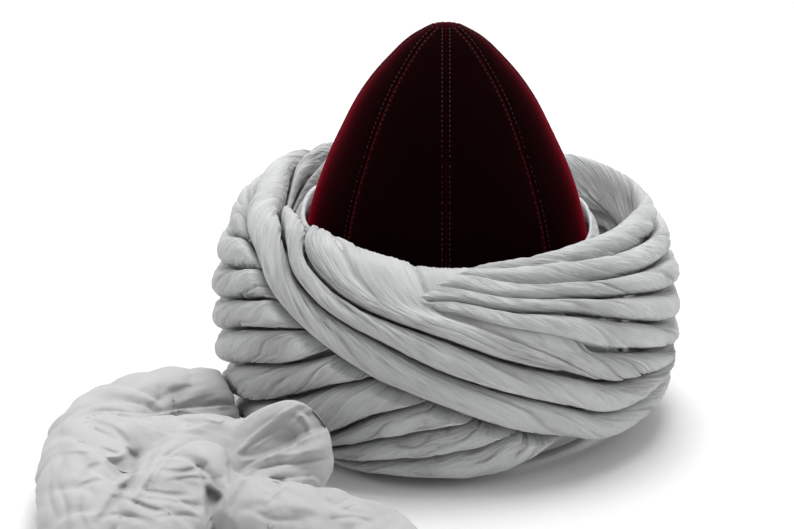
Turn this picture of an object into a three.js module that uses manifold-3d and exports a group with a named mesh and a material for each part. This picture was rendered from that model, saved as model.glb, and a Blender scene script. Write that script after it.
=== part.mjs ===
// Imam turban: a tall velvet cap sewn from gores, wound with twisted muslin turns,
// with the loose end of the muslin lying beside it.
// Millimetres, +Z up, the front faces -Y, the origin is on the cap's axis at table height.
import * as THREE from 'three';
import Module from 'manifold-3d';

const wasm = await Module();
wasm.setup();

// Driving sizes
const CAP_RADIUS = 96.2;          // outside of the cap's brim line
const CAP_HEIGHT = 253;
const CAP_WALL = 3;               // velvet, stiffening and the turned seams together
const GORES = 8;
const WRAP_RADIUS = 148;          // widest part of the winding
const WRAP_HEIGHT = 145;          // top of the winding's rim
const WRAP_GIRTH = 216;           // length of the winding's outline, from its foot over the rim
const LINER_HEIGHT = 129;         // first flat turns of muslin round the cap
const LINER_THICKNESS = 6;
const LINER_EASE = 1.2;           // room for the cap's wall to bulge between the liner's corners
const TAIL_CLEAR = 2.6;           // from the winding's outline to the loose tail
const GAP = 0.3;                  // clear space kept between neighbouring pieces

// Drawing finenesses
const TURN_STATIONS = 32;
const TURN_SIDES = 8;
const LINER_STATIONS = 32;
const TAIL_SIDES = 8;

const VELVET = { color: 0x33000b, roughness: 0.85 };
const MUSLIN = { color: 0xdcdcde, roughness: 0.9 };

const radians = degrees => degrees * Math.PI / 180;
const mix = (from, to, share) => from + (to - from) * share;
const clamp = (value, low, high) => Math.min(high, Math.max(low, value));
const smoothstep = (low, high, value) => {
  const share = clamp((value - low) / (high - low), 0, 1);
  return share * share * (3 - 2 * share);
};

// A table whose first line names its columns
const table = (columns, lines) =>
  lines.map(line => Object.fromEntries(columns.map((column, index) => [column, line[index]])));

// Cap outline from brim to tip: height as a share of CAP_HEIGHT, radius of CAP_RADIUS
const capOutline = table(['height', 'radius'], [
  [0, 1],
  [0.158, 0.998],
  [0.316, 0.984],
  [0.443, 0.951],
  [0.553, 0.888],
  [0.644, 0.803],
  [0.727, 0.703],
  [0.802, 0.6],
  [0.866, 0.486],
  [0.917, 0.368],
  [0.957, 0.261],
  [0.982, 0.163],
  [0.996, 0.084],
  [1, 0],
]);

// Outline of the winding from its foot, up the outside, over the rim and down inside.
// Girth is a share of WRAP_GIRTH; radii are shares of WRAP_RADIUS and heights of WRAP_HEIGHT.
// Each place on the outline faces a place on the core, where the winding is thickest through.
const windingOutline = table(['girth', 'outerRadius', 'outerHeight', 'coreRadius', 'coreHeight'], [
  [0, 0.784, 0.021, 0.706, 0.041],
  [0.065, 0.878, 0.034, 0.706, 0.069],
  [0.13, 0.939, 0.103, 0.709, 0.124],
  [0.204, 0.976, 0.207, 0.709, 0.221],
  [0.296, 0.997, 0.345, 0.709, 0.345],
  [0.37, 1, 0.455, 0.709, 0.441],
  [0.468, 0.997, 0.6, 0.713, 0.552],
  [0.574, 0.97, 0.759, 0.73, 0.648],
  [0.644, 0.932, 0.855, 0.75, 0.69],
  [0.713, 0.878, 0.938, 0.764, 0.71],
  [0.769, 0.811, 0.993, 0.764, 0.721],
  [0.819, 0.736, 1, 0.757, 0.724],
  [0.87, 0.676, 0.959, 0.747, 0.721],
  [0.926, 0.655, 0.883, 0.736, 0.714],
  [1, 0.662, 0.772, 0.726, 0.703],
]);

// How much higher the rim stands round the winding, as a share of WRAP_HEIGHT
const rimLift = table(['azimuth', 'lift'], [
  [-180, 0.035],
  [-120, 0.055],
  [-90, 0.03],
  [-45, 0],
  [-20, -0.065],
  [0, -0.095],
  [25, -0.08],
  [55, -0.045],
  [90, 0],
  [120, 0.02],
]);

// Bands of turns lying side by side. Azimuth is in degrees from the front, growing to the
// wearer's left; low and high are the band's edges as shares of WRAP_GIRTH; lead is the share
// of the band that its lowest turn takes.
const bandColumns = ['azimuth', 'low', 'high', 'lead'];

// Crossing turns: over the rim at one side, down across the front to the foot at the other
const crossingBand = table(bandColumns, [
  [-180, 0.44, 0.648, 0.36],
  [-150, 0.602, 0.796, 0.38],
  [-120, 0.718, 0.944, 0.42],
  [-90, 0.759, 0.981, 0.58],
  [-75, 0.731, 0.972, 0.56],
  [-60, 0.694, 0.954, 0.52],
  [-50, 0.602, 0.907, 0.48],
  [-42, 0.537, 0.815, 0.4],
  [-30, 0.472, 0.755, 0.36],
  [-15, 0.384, 0.685, 0.39],
  [0, 0.319, 0.625, 0.33],
  [15, 0.245, 0.542, 0.37],
  [30, 0.19, 0.481, 0.34],
  [45, 0.135, 0.412, 0.33],
  [60, 0.127, 0.361, 0.4],
  [75, 0.127, 0.306, 0.58],
  [90, 0.13, 0.269, 0.66],
  [120, 0.139, 0.306, 0.5],
  [150, 0.278, 0.486, 0.38],
]);

// Rising turns: up to the rim at the front, under the crossing turns, and down again
const risingBand = table(bandColumns, [
  [-180, 0.231, 0.741, 0.2],
  [-150, 0.204, 0.731, 0.2],
  [-120, 0.194, 0.731, 0.2],
  [-90, 0.202, 0.731, 0.2],
  [-75, 0.263, 0.769, 0.21],
  [-60, 0.319, 0.815, 0.23],
  [-45, 0.376, 0.833, 0.24],
  [-32, 0.442, 0.861, 0.2],
  [-24, 0.53, 0.87, 0.2],
  [-15, 0.61, 0.88, 0.2],
  [0, 0.63, 0.88, 0.23],
  [15, 0.542, 0.861, 0.28],
  [30, 0.481, 0.847, 0.28],
  [45, 0.412, 0.833, 0.24],
  [60, 0.361, 0.81, 0.21],
  [75, 0.306, 0.796, 0.18],
  [90, 0.269, 0.764, 0.17],
  [120, 0.306, 0.764, 0.2],
  [150, 0.269, 0.75, 0.2],
]);

// Foot turns: round the foot at one side and the back, hidden under the crossing at the other
const footBand = table(bandColumns, [
  [-180, 0.065, 0.231, 0.5],
  [-150, 0.046, 0.204, 0.5],
  [-120, 0.032, 0.194, 0.45],
  [-90, 0.037, 0.202, 0.4],
  [-75, 0.056, 0.263, 0.47],
  [-60, 0.065, 0.319, 0.54],
  [-45, 0.12, 0.376, 0.57],
  [-30, 0.199, 0.444, 0.6],
  [-15, 0.292, 0.519, 0.47],
  [0, 0.333, 0.565, 0.45],
  [15, 0.278, 0.519, 0.5],
  [30, 0.213, 0.454, 0.5],
  [45, 0.167, 0.398, 0.5],
  [60, 0.157, 0.343, 0.5],
  [75, 0.148, 0.296, 0.5],
  [90, 0.139, 0.259, 0.5],
  [120, 0.139, 0.296, 0.5],
  [150, 0.074, 0.25, 0.5],
]);

// Front layers: the ends of three turns that show below the crossing, both ends tucked under
const frontBand = table(bandColumns, [
  [-62, 0.056, 0.102, 0.33],
  [-45, 0.046, 0.12, 0.33],
  [-30, 0.05, 0.199, 0.31],
  [-15, 0.07, 0.292, 0.32],
  [0, 0.052, 0.347, 0.4],
  [8, 0.06, 0.361, 0.44],
  [15, 0.08, 0.361, 0.5],
  [23, 0.13, 0.361, 0.47],
  [32, 0.167, 0.343, 0.4],
  [46, 0.176, 0.324, 0.33],
]);

// How deep turns lie, as shares of the way from the outline to the core
const CROSSING_DEPTH = { outer: -0.04, inner: 0.58 };
const OPEN_DEPTH = { outer: -0.04, inner: 0.8 };
const BURIED_DEPTH = { outer: 0.61, inner: 0.98 };
const FRONT_DEPTH = { outer: -0.03, inner: 0.7 };

// Shape of one turn's section
const SECTION_SQUARENESS = 0.78;  // power that fills out the ellipse: 1 is a plain ellipse
const GROOVE_SCALE = 0.93;        // every second corner lies lower, so that the twist shows
const CUTTER_MARGIN = 0.35;       // what a turn lying under another keeps clear of it

// Loose tail: gathered rolls of muslin lying in a heap, each a row of places along its middle.
// x and y are shares of WRAP_RADIUS, height of the middle, half width and half height too.
const rollColumns = ['x', 'y', 'height', 'halfWidth', 'halfHeight'];
const tailRolls = [
  // from under the winding, round the far side and forward
  table(rollColumns, [
    [-0.838, -0.338, 0.149, 0.108, 0.122],
    [-1.014, -0.419, 0.169, 0.182, 0.162],
    [-1.169, -0.446, 0.176, 0.203, 0.166],
    [-1.297, -0.568, 0.176, 0.216, 0.169],
    [-1.372, -0.757, 0.176, 0.23, 0.172],
    [-1.392, -1., 0.176, 0.223, 0.172],
    [-1.365, -1.297, 0.169, 0.209, 0.166],
    [-1.324, -1.608, 0.149, 0.189, 0.149],
    [-1.304, -1.784, 0.115, 0.142, 0.115],
  ]),
  // across the top from the far side towards the winding
  table(rollColumns, [
    [-1.324, -0.986, 0.189, 0.162, 0.135],
    [-1.135, -1.014, 0.209, 0.203, 0.145],
    [-0.932, -1., 0.209, 0.196, 0.145],
    [-0.757, -1.014, 0.203, 0.149, 0.135],
  ]),
  // from there forward
  table(rollColumns, [
    [-0.865, -1.014, 0.176, 0.162, 0.149],
    [-0.986, -1.189, 0.176, 0.203, 0.166],
    [-1.068, -1.432, 0.169, 0.216, 0.162],
    [-1.101, -1.662, 0.142, 0.203, 0.142],
    [-1.115, -1.811, 0.108, 0.149, 0.108],
  ]),
  // the knob folded over at its near side
  table(rollColumns, [
    [-0.865, -1.054, 0.203, 0.095, 0.101],
    [-0.905, -1.128, 0.196, 0.128, 0.128],
    [-0.926, -1.243, 0.169, 0.122, 0.122],
    [-0.919, -1.338, 0.135, 0.074, 0.088],
  ]),
  // the loop standing against the winding
  table(rollColumns, [
    [-0.838, -1.054, 0.189, 0.108, 0.108],
    [-0.723, -1.027, 0.297, 0.095, 0.095],
    [-0.622, -1.02, 0.351, 0.081, 0.088],
    [-0.541, -1.041, 0.297, 0.081, 0.088],
    [-0.514, -1.095, 0.209, 0.081, 0.088],
    [-0.581, -1.162, 0.135, 0.095, 0.095],
    [-0.73, -1.203, 0.122, 0.115, 0.108],
  ]),
  // the inside of the loop
  table(rollColumns, [
    [-0.797, -1.122, 0.162, 0.101, 0.122],
    [-0.703, -1.108, 0.203, 0.088, 0.115],
    [-0.622, -1.101, 0.209, 0.068, 0.095],
  ]),
  // the near mass, its free end past the loop
  table(rollColumns, [
    [-0.905, -1.297, 0.122, 0.122, 0.115],
    [-0.689, -1.405, 0.128, 0.182, 0.128],
    [-0.459, -1.5, 0.128, 0.196, 0.128],
    [-0.284, -1.608, 0.115, 0.189, 0.115],
    [-0.162, -1.757, 0.088, 0.142, 0.088],
  ]),
];

const group = new THREE.Group();
group.name = 'imam_turban';

// Smooth curve through one column of a table, with no overshoot. A period closes it in a ring.
function curve(rows, along, column, period = 0) {
  const count = rows.length;
  const wrap = index => ((index % count) + count) % count;
  const placeAt = index => period
    ? rows[wrap(index)][along] + period * Math.floor(index / count)
    : rows[clamp(index, 0, count - 1)][along];
  const valueAt = index => (period
    ? rows[wrap(index)][column]
    : rows[clamp(index, 0, count - 1)][column]);
  const rise = index => {
    const run = placeAt(index + 1) - placeAt(index);
    return run > 0 ? (valueAt(index + 1) - valueAt(index)) / run : 0;
  };
  const slope = index => {
    const before = rise(index - 1);
    const after = rise(index);
    return before * after > 0 ? 2 * before * after / (before + after) : 0;
  };
  const first = rows[0][along];
  return place => {
    const at = period ? first + (((place - first) % period) + period) % period
      : clamp(place, first, rows[count - 1][along]);
    let index = 0;
    while (index < (period ? count - 1 : count - 2) && placeAt(index + 1) <= at) {
      index += 1;
    }
    const run = placeAt(index + 1) - placeAt(index);
    const share = (at - placeAt(index)) / run;
    const square = share * share;
    const cube = square * share;
    return (2 * cube - 3 * square + 1) * valueAt(index)
      + (cube - 2 * square + share) * run * slope(index)
      + (3 * square - 2 * cube) * valueAt(index + 1)
      + (cube - square) * run * slope(index + 1);
  };
}

// Points as a flat list, and triangles as a flat list of their numbers
class Body {
  constructor() {
    this.points = [];
    this.faces = [];
  }

  add(x, y, z) {
    this.points.push(x, y, z);
    return this.points.length / 3 - 1;
  }

  face(a, b, c) {
    if (a !== b && b !== c && c !== a) {
      this.faces.push(a, b, c);
    }
  }

  quad(a, b, c, d) {
    this.face(a, b, c);
    this.face(a, c, d);
  }

  solid() {
    const mesh = new wasm.Mesh({
      numProp: 3,
      vertProperties: new Float32Array(this.points),
      triVerts: new Uint32Array(this.faces),
    });
    return new wasm.Manifold(mesh);
  }
}

function addSolid(name, solid, look) {
  const mesh = solid.getMesh();
  const geometry = new THREE.BufferGeometry();
  geometry.setAttribute('position', new THREE.BufferAttribute(new Float32Array(mesh.vertProperties), 3));
  geometry.setIndex(new THREE.BufferAttribute(new Uint32Array(mesh.triVerts), 1));
  geometry.computeVertexNormals();
  const material = new THREE.MeshStandardMaterial({ ...look, metalness: 0 });
  const piece = new THREE.Mesh(geometry, material);
  piece.name = name;
  group.add(piece);
}

// The largest connected body of a cut solid
function largest(solid) {
  const bodies = solid.decompose();
  return bodies.reduce((best, body) => (body.volume() > best.volume() ? body : best));
}

// Cap
const capRadiusAt = curve(capOutline, 'height', 'radius');

function capWallPlace(row, inward) {
  const height = row.height * CAP_HEIGHT;
  const radius = row.radius * CAP_RADIUS;
  const step = 0.01;
  const rise = (capRadiusAt(row.height + step) - capRadiusAt(row.height - step)) * CAP_RADIUS;
  const run = (Math.min(row.height + step, 1) - Math.max(row.height - step, 0)) * CAP_HEIGHT;
  const length = Math.hypot(rise, run);
  const lean = row.height === 0 ? 0 : -rise / length;
  return {
    radius: Math.max(0, radius - inward * (row.radius === 0 ? 0 : run / length)),
    height: height - inward * (row.radius === 0 ? 1 : lean),
  };
}

function buildGore(number) {
  const columns = 3;
  const halfAngle = 180 / GORES;
  const middle = (number + 0.5) * 2 * halfAngle;
  const seamDip = 0.985;
  const body = new Body();
  const layer = inward => capOutline.map(row => {
    const place = capWallPlace(row, inward);
    const line = [];
    for (let column = 0; column <= columns; column += 1) {
      const side = 2 * column / columns - 1;
      const angle = radians(middle + side * halfAngle);
      const radius = place.radius * mix(1, seamDip, side * side);
      const edgeShift = Math.abs(side) === 1 ? -side * GAP / 2 : 0;
      const x = radius * Math.sin(angle) + edgeShift * Math.cos(angle);
      const y = -radius * Math.cos(angle) + edgeShift * Math.sin(angle);
      line.push([x, y, place.height]);
    }
    if (place.radius < 1) {
      const tip = GAP / 2 / Math.sin(radians(halfAngle));
      const angle = radians(middle);
      const point = body.add(tip * Math.sin(angle), -tip * Math.cos(angle), place.height);
      return line.map(() => point);
    }
    return line.map(point => body.add(...point));
  });
  const outer = layer(0);
  const inner = layer(CAP_WALL);
  for (let row = 0; row < capOutline.length - 1; row += 1) {
    for (let column = 0; column < columns; column += 1) {
      body.quad(outer[row][column], outer[row][column + 1], outer[row + 1][column + 1], outer[row + 1][column]);
      body.quad(inner[row][column], inner[row + 1][column], inner[row + 1][column + 1], inner[row][column + 1]);
    }
    body.quad(outer[row][0], outer[row + 1][0], inner[row + 1][0], inner[row][0]);
    body.quad(inner[row][columns], inner[row + 1][columns], outer[row + 1][columns], outer[row][columns]);
  }
  for (let column = 0; column < columns; column += 1) {
    body.quad(outer[0][column], inner[0][column], inner[0][column + 1], outer[0][column + 1]);
  }
  return body.solid();
}

for (let number = 0; number < GORES; number += 1) {
  addSolid(`cap_gore_${number + 1}`, buildGore(number), VELVET);
}

const rimLiftAt = curve(rimLift, 'azimuth', 'lift', 360);

// Liner: the first turns of muslin, wound flat against the cap
// Height is a share of LINER_HEIGHT, thickness of LINER_THICKNESS
const linerSection = table(['height', 'thickness'], [
  [0.03, 1],
  [0.35, 1.08],
  [0.7, 0.84],
  [0.93, 0.92],
  [1, 0.42],
]);

function buildLiner() {
  const body = new Body();
  const rings = [];
  for (let station = 0; station < LINER_STATIONS; station += 1) {
    const angle = 2 * Math.PI * station / LINER_STATIONS;
    const wave = Math.sin(3 * angle + 0.6) + 0.6 * Math.sin(7 * angle + 2);
    const ring = [];
    const lift = rimLiftAt(360 * station / LINER_STATIONS) * WRAP_HEIGHT;
    const topWave = LINER_THICKNESS * wave / 3 + lift;
    const place = (row, thickness) => {
      const height = row.height * LINER_HEIGHT + (row.height > 0.9 ? topWave : 0);
      const capRadius = capRadiusAt(height / CAP_HEIGHT) * CAP_RADIUS;
      const folds = wave * (row.height > 0.6 ? 0.12 : 0.06);
      const outwards = thickness > 0 ? LINER_THICKNESS * (thickness + folds) : 0;
      const radius = capRadius + GAP + LINER_EASE + outwards;
      ring.push(body.add(radius * Math.sin(angle), -radius * Math.cos(angle), height));
    };
    linerSection.forEach(row => place(row, row.thickness));
    [...linerSection].reverse().forEach(row => place(row, 0));
    rings.push(ring);
  }
  const count = rings[0].length;
  rings.forEach((ring, station) => {
    const next = rings[(station + 1) % LINER_STATIONS];
    for (let index = 0; index < count; index += 1) {
      const after = (index + 1) % count;
      body.quad(ring[index], next[index], next[after], ring[after]);
    }
  });
  return body.solid();
}

addSolid('liner_wrap', buildLiner(), MUSLIN);

// Winding
const outline = {
  outerRadius: curve(windingOutline, 'girth', 'outerRadius'),
  outerHeight: curve(windingOutline, 'girth', 'outerHeight'),
  coreRadius: curve(windingOutline, 'girth', 'coreRadius'),
  coreHeight: curve(windingOutline, 'girth', 'coreHeight'),
};

function windingPoint(azimuth, girth, depth) {
  const radius = WRAP_RADIUS * mix(outline.outerRadius(girth), outline.coreRadius(girth), depth);
  const lift = rimLiftAt(azimuth) * smoothstep(0.5, 0.75, girth);
  const height = WRAP_HEIGHT * (mix(outline.outerHeight(girth), outline.coreHeight(girth), depth) + lift);
  const angle = radians(azimuth);
  return [radius * Math.sin(angle), -radius * Math.cos(angle), height];
}

function bandCurves(rows, period) {
  return {
    low: curve(rows, 'azimuth', 'low', period),
    high: curve(rows, 'azimuth', 'high', period),
    lead: curve(rows, 'azimuth', 'lead', period),
  };
}

const crossing = bandCurves(crossingBand, 360);

// Edges of one turn of a band
function turnEdges(band, turn, turns, azimuth) {
  const low = band.low(azimuth);
  const width = band.high(azimuth) - low;
  const lead = band.lead(azimuth);
  const edge = number => (number === 0 ? 0 : lead + (1 - lead) * (number - 1) / (turns - 1));
  return { low: low + width * edge(turn), high: low + width * edge(turn + 1) };
}

// How far a turn has sunk under the crossing band: 0 in the open, 1 fully under
function sinking(edges, azimuth) {
  const blend = 0.045;
  const middle = (edges.low + edges.high) / 2;
  const below = smoothstep(-blend, blend, middle - crossing.low(azimuth));
  const above = smoothstep(-blend, blend, crossing.high(azimuth) - middle);
  return below * above;
}

// The corners of one turn's section. Margin makes it larger for use as a cutter.
function turnSection(edges, depth, azimuth, station, lean, margin) {
  const clear = (GAP / 2 + 0.05 - margin) / WRAP_GIRTH;
  const halfGirth = (edges.high - edges.low) / 2 - clear;
  const middleGirth = (edges.high + edges.low) / 2;
  const halfDepth = (depth.inner - depth.outer) / 2 + margin / (WRAP_RADIUS - CAP_RADIUS);
  const middleDepth = (depth.inner + depth.outer) / 2;
  const corners = [];
  for (let side = 0; side < TURN_SIDES; side += 1) {
    const turned = 2 * Math.PI * (side + lean * station) / TURN_SIDES;
    const scale = side % 2 ? GROOVE_SCALE : 1;
    const across = Math.sign(Math.cos(turned)) * Math.abs(Math.cos(turned)) ** SECTION_SQUARENESS * scale;
    const outwards = Math.sign(Math.sin(turned)) * Math.abs(Math.sin(turned)) ** SECTION_SQUARENESS * scale;
    corners.push(windingPoint(azimuth, middleGirth + halfGirth * across, middleDepth - halfDepth * outwards));
  }
  return corners;
}

// Joins sections into one closed body, in a ring or with both ends closed. Lean is the way
// that the corners turn along it, which each four-cornered patch is folded along.
function loft(sections, ring, lean) {
  const body = new Body();
  const numbers = sections.map(corners => corners.map(corner => body.add(...corner)));
  const sides = numbers[0].length;
  const spans = ring ? numbers.length : numbers.length - 1;
  for (let span = 0; span < spans; span += 1) {
    const here = numbers[span];
    const next = numbers[(span + 1) % numbers.length];
    for (let side = 0; side < sides; side += 1) {
      const after = (side + 1) % sides;
      if (lean > 0) {
        body.quad(next[side], here[side], here[after], next[after]);
      } else {
        body.quad(here[side], here[after], next[after], next[side]);
      }
    }
  }
  if (!ring) {
    const start = numbers[0];
    const end = numbers[numbers.length - 1];
    for (let side = 1; side < sides - 1; side += 1) {
      body.face(start[0], start[side + 1], start[side]);
      body.face(end[0], end[side], end[side + 1]);
    }
  }
  const solid = body.solid();
  if (solid.volume() < 0) {
    throw new Error('a lofted body is inside out');
  }
  return solid;
}

function ringTurn(band, turn, turns, lean, depthAt, margin) {
  const sections = [];
  for (let station = 0; station < TURN_STATIONS; station += 1) {
    const azimuth = -180 + 360 * station / TURN_STATIONS;
    const edges = turnEdges(band, turn, turns, azimuth);
    sections.push(turnSection(edges, depthAt(edges, azimuth), azimuth, station, lean, margin));
  }
  return loft(sections, true, lean);
}

const sunkDepth = (edges, azimuth) => {
  const sunk = sinking(edges, azimuth);
  return {
    outer: mix(OPEN_DEPTH.outer, BURIED_DEPTH.outer, sunk),
    inner: mix(OPEN_DEPTH.inner, BURIED_DEPTH.inner, sunk),
  };
};

// Turns are placed from the top layer down: each is cut clear of those already placed
const placedCutters = [];

function placeTurn(name, build, depthAt) {
  const solid = build(depthAt, 0);
  const clear = placedCutters.length ? solid.subtract(wasm.Manifold.union(placedCutters)) : solid;
  placedCutters.push(solid, build(depthAt, CUTTER_MARGIN));
  addSolid(name, largest(clear), MUSLIN);
}

function placeRings(name, band, turns, lean, depthAt) {
  for (let turn = 0; turn < turns; turn += 1) {
    const build = (depth, margin) => ringTurn(band, turn, turns, lean, depth, margin);
    placeTurn(`${name}_${turn + 1}`, build, depthAt);
  }
}

placeRings('crossing_turn', crossing, 3, 1, () => CROSSING_DEPTH);
placeRings('rising_turn', bandCurves(risingBand, 360), 5, 1, sunkDepth);
placeRings('foot_turn', bandCurves(footBand, 360), 2, 1, sunkDepth);

const FRONT_LAYERS = 3;
const FRONT_STATIONS = 11;
const front = bandCurves(frontBand, 0);

function frontLayer(layer, margin) {
  const sections = [];
  const start = frontBand[0].azimuth;
  const end = frontBand[frontBand.length - 1].azimuth;
  for (let station = 0; station < FRONT_STATIONS; station += 1) {
    const along = station / (FRONT_STATIONS - 1);
    const azimuth = mix(start, end, along);
    const edges = turnEdges(front, layer, FRONT_LAYERS, azimuth);
    const tucked = Math.max(1 - smoothstep(0, 0.42, along), smoothstep(0.75, 1, along), sinking(edges, azimuth));
    const depth = {
      outer: mix(FRONT_DEPTH.outer, BURIED_DEPTH.outer, tucked),
      inner: mix(FRONT_DEPTH.inner, BURIED_DEPTH.inner, tucked),
    };
    sections.push(turnSection(edges, depth, azimuth, station, 1, margin));
  }
  return loft(sections, false, 1);
}

for (let layer = 0; layer < FRONT_LAYERS; layer += 1) {
  placeTurn(`front_layer_${layer + 1}`, (depth, margin) => frontLayer(layer, margin));
}

// Tail
function buildRoll(rows, number) {
  const stations = 3 * (rows.length - 1) + 1;
  const indexed = rows.map((row, index) => ({ ...row, index }));
  const at = Object.fromEntries(rollColumns.map(column => [column, curve(indexed, 'index', column)]));
  const places = [];
  for (let station = 0; station < stations; station += 1) {
    const along = (rows.length - 1) * station / (stations - 1);
    places.push(Object.fromEntries(rollColumns.map(column => [column, at[column](along) * WRAP_RADIUS])));
  }
  const sections = places.map((place, station) => {
    const before = places[Math.max(station - 1, 0)];
    const after = places[Math.min(station + 1, stations - 1)];
    const run = new THREE.Vector3(after.x - before.x, after.y - before.y, after.height - before.height).normalize();
    const across = new THREE.Vector3(-run.y, run.x, 0).normalize();
    const up = new THREE.Vector3().crossVectors(run, across).normalize();
    const endScale = station === 0 || station === stations - 1 ? 0.6 : 1;
    const corners = [];
    for (let side = 0; side < TAIL_SIDES; side += 1) {
      const turned = 2 * Math.PI * (side / TAIL_SIDES + 0.02 * station);
      const fold = 1 + 0.09 * Math.sin(3 * turned + 1.3 * number + 0.5 * station) - 0.04 * (side % 2);
      const wide = place.halfWidth * Math.cos(turned) * fold * endScale;
      const tall = place.halfHeight * Math.sin(turned) * fold * endScale;
      corners.push([
        place.x + across.x * wide + up.x * tall,
        place.y + across.y * wide + up.y * tall,
        place.height + up.z * tall,
      ]);
    }
    return corners;
  });
  return loft(sections, false, 1);
}

// All that the winding takes up, with a little clear space round it
function windingSpace() {
  const side = windingOutline.filter(row => row.girth < 0.7)
    .map(row => [row.outerRadius * WRAP_RADIUS + TAIL_CLEAR, row.outerHeight * WRAP_HEIGHT]);
  const bottom = [side[0][0], 0];
  const top = [side[side.length - 1][0], WRAP_HEIGHT];
  return wasm.Manifold.revolve([[[0, 0], bottom, ...side, top, [0, WRAP_HEIGHT]]], 64);
}

const reach = 4 * WRAP_RADIUS;
const tableTop = wasm.Manifold.cube([2 * reach, 2 * reach, reach]).translate([-reach, -reach, -reach]);
const heap = wasm.Manifold.union(tailRolls.map((rows, number) => buildRoll(rows, number)));
addSolid('loose_tail', largest(heap.subtract(windingSpace()).subtract(tableTop)), MUSLIN);

export default group;
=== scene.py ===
"""Imam turban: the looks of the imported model. Metres, +Z up, the front faces -Y."""

import math

import bpy
import numpy as np
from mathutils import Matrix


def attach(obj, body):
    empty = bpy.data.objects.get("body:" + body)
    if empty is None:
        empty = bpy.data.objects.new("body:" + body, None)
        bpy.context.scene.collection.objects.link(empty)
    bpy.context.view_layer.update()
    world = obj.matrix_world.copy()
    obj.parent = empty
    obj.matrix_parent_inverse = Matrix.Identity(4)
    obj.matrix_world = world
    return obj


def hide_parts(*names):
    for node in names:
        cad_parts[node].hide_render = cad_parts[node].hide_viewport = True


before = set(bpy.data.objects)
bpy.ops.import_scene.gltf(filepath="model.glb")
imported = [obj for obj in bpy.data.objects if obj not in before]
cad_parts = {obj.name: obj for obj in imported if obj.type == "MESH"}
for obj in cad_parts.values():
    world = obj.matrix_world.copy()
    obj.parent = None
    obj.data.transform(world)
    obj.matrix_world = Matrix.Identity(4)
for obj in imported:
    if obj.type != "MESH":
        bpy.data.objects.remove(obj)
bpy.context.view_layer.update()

MM = 0.001

# Driving sizes in millimetres, as in the CAD
CAP_RADIUS = 96.2
CAP_HEIGHT = 253
CAP_WALL = 3
GORES = 8
WRAP_RADIUS = 148
WRAP_HEIGHT = 145
WRAP_GIRTH = 216
LINER_HEIGHT = 129
LINER_THICKNESS = 6
LINER_EASE = 1.5
TAIL_CLEAR = 2.6
GAP = 0.3

# Finenesses of the meshes
TURN_STATIONS = 400
TURN_SIDES = 60
FRONT_STATIONS = 150
LINER_STATIONS = 420
LINER_ROWS = 46
LINER_INNER_ROWS = 10
GORE_COLUMNS = 22
GORE_ROWS = 90
TAIL_CELL = 2.4  # millimetres

# Camera: a long lens looking down at the front, as far away as the photograph's perspective shows
IMAGE_WIDTH = 794
IMAGE_HEIGHT = 529
CAMERA_DISTANCE = 1400
CAMERA_HEIGHT = 565
CAMERA_PITCH = 18.5
FOCAL_PIXELS = 2325
AXIS_PIXEL = 446  # the column of the image that the cap's axis falls on


def linked(name, data):
    """A new object of the scene."""
    thing = bpy.data.objects.new(name, data)
    bpy.context.scene.collection.objects.link(thing)
    return thing


def make_camera():
    """The photograph's viewpoint, with the small shift that its framing needs."""
    data = bpy.data.cameras.new("camera")
    data.sensor_width = 36
    data.lens = data.sensor_width * FOCAL_PIXELS / IMAGE_WIDTH
    data.shift_x = (IMAGE_WIDTH / 2 - AXIS_PIXEL) / IMAGE_WIDTH
    camera = linked("camera", data)
    camera.location = (0, -CAMERA_DISTANCE * MM, CAMERA_HEIGHT * MM)
    camera.rotation_euler = (math.radians(90 - CAMERA_PITCH), 0, 0)
    bpy.context.scene.camera = camera


make_camera()


# Number helpers
def mix(start, end, share):
    return start + (end - start) * share


def smoothstep(low, high, value):
    share = np.clip((value - low) / (high - low), 0, 1)
    return share * share * (3 - 2 * share)


def unit(vectors):
    length = np.linalg.norm(vectors, axis=-1, keepdims=True)
    return vectors / np.maximum(length, 1e-6)


def smooth_curve(rows, column, period=0):
    """Smooth curve through one column of a table, placed by its first column, with no overshoot."""
    places = np.array([row[0] for row in rows], float)
    values = np.array([row[column] for row in rows], float)
    first = places[0]
    if period:
        places = np.concatenate([places[-2:] - period, places, places[:3] + period])
        values = np.concatenate([values[-2:], values, values[:3]])
    rises = np.diff(values) / np.diff(places)
    before = np.concatenate([[0], rises])
    after = np.concatenate([rises, [0]])
    together = before * after
    slopes = np.where(together > 0, 2 * together / np.where(together > 0, before + after, 1), 0)

    def at(place):
        place = np.asarray(place, float)
        if period:
            place = first + (place - first) % period
        else:
            place = np.clip(place, places[0], places[-1])
        index = np.clip(np.searchsorted(places, place, side="right") - 1, 0, len(places) - 2)
        run = places[index + 1] - places[index]
        share = (place - places[index]) / run
        square = share * share
        cube = square * share
        return (
            (2 * cube - 3 * square + 1) * values[index]
            + (cube - 2 * square + share) * run * slopes[index]
            + (3 * square - 2 * cube) * values[index + 1]
            + (cube - square) * run * slopes[index + 1]
        )

    return at


def ring_noise(across, along, cells_across, cells_along, seed):
    """Smooth noise from about -1 to 1 over the unit square, which repeats at its edges."""
    angles = np.random.default_rng(seed).uniform(0, 2 * math.pi, (cells_across, cells_along))
    x = np.asarray(across, float) * cells_across
    y = np.asarray(along, float) * cells_along
    column = np.floor(x).astype(int)
    row = np.floor(y).astype(int)
    x = x - column
    y = y - row

    def corner(right, up):
        angle = angles[(column + right) % cells_across, (row + up) % cells_along]
        return np.cos(angle) * (x - right) + np.sin(angle) * (y - up)

    def fade(share):
        return share**3 * (share * (share * 6 - 15) + 10)

    low = mix(corner(0, 0), corner(1, 0), fade(x))
    high = mix(corner(0, 1), corner(1, 1), fade(x))
    return 1.5 * mix(low, high, fade(y))


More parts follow.
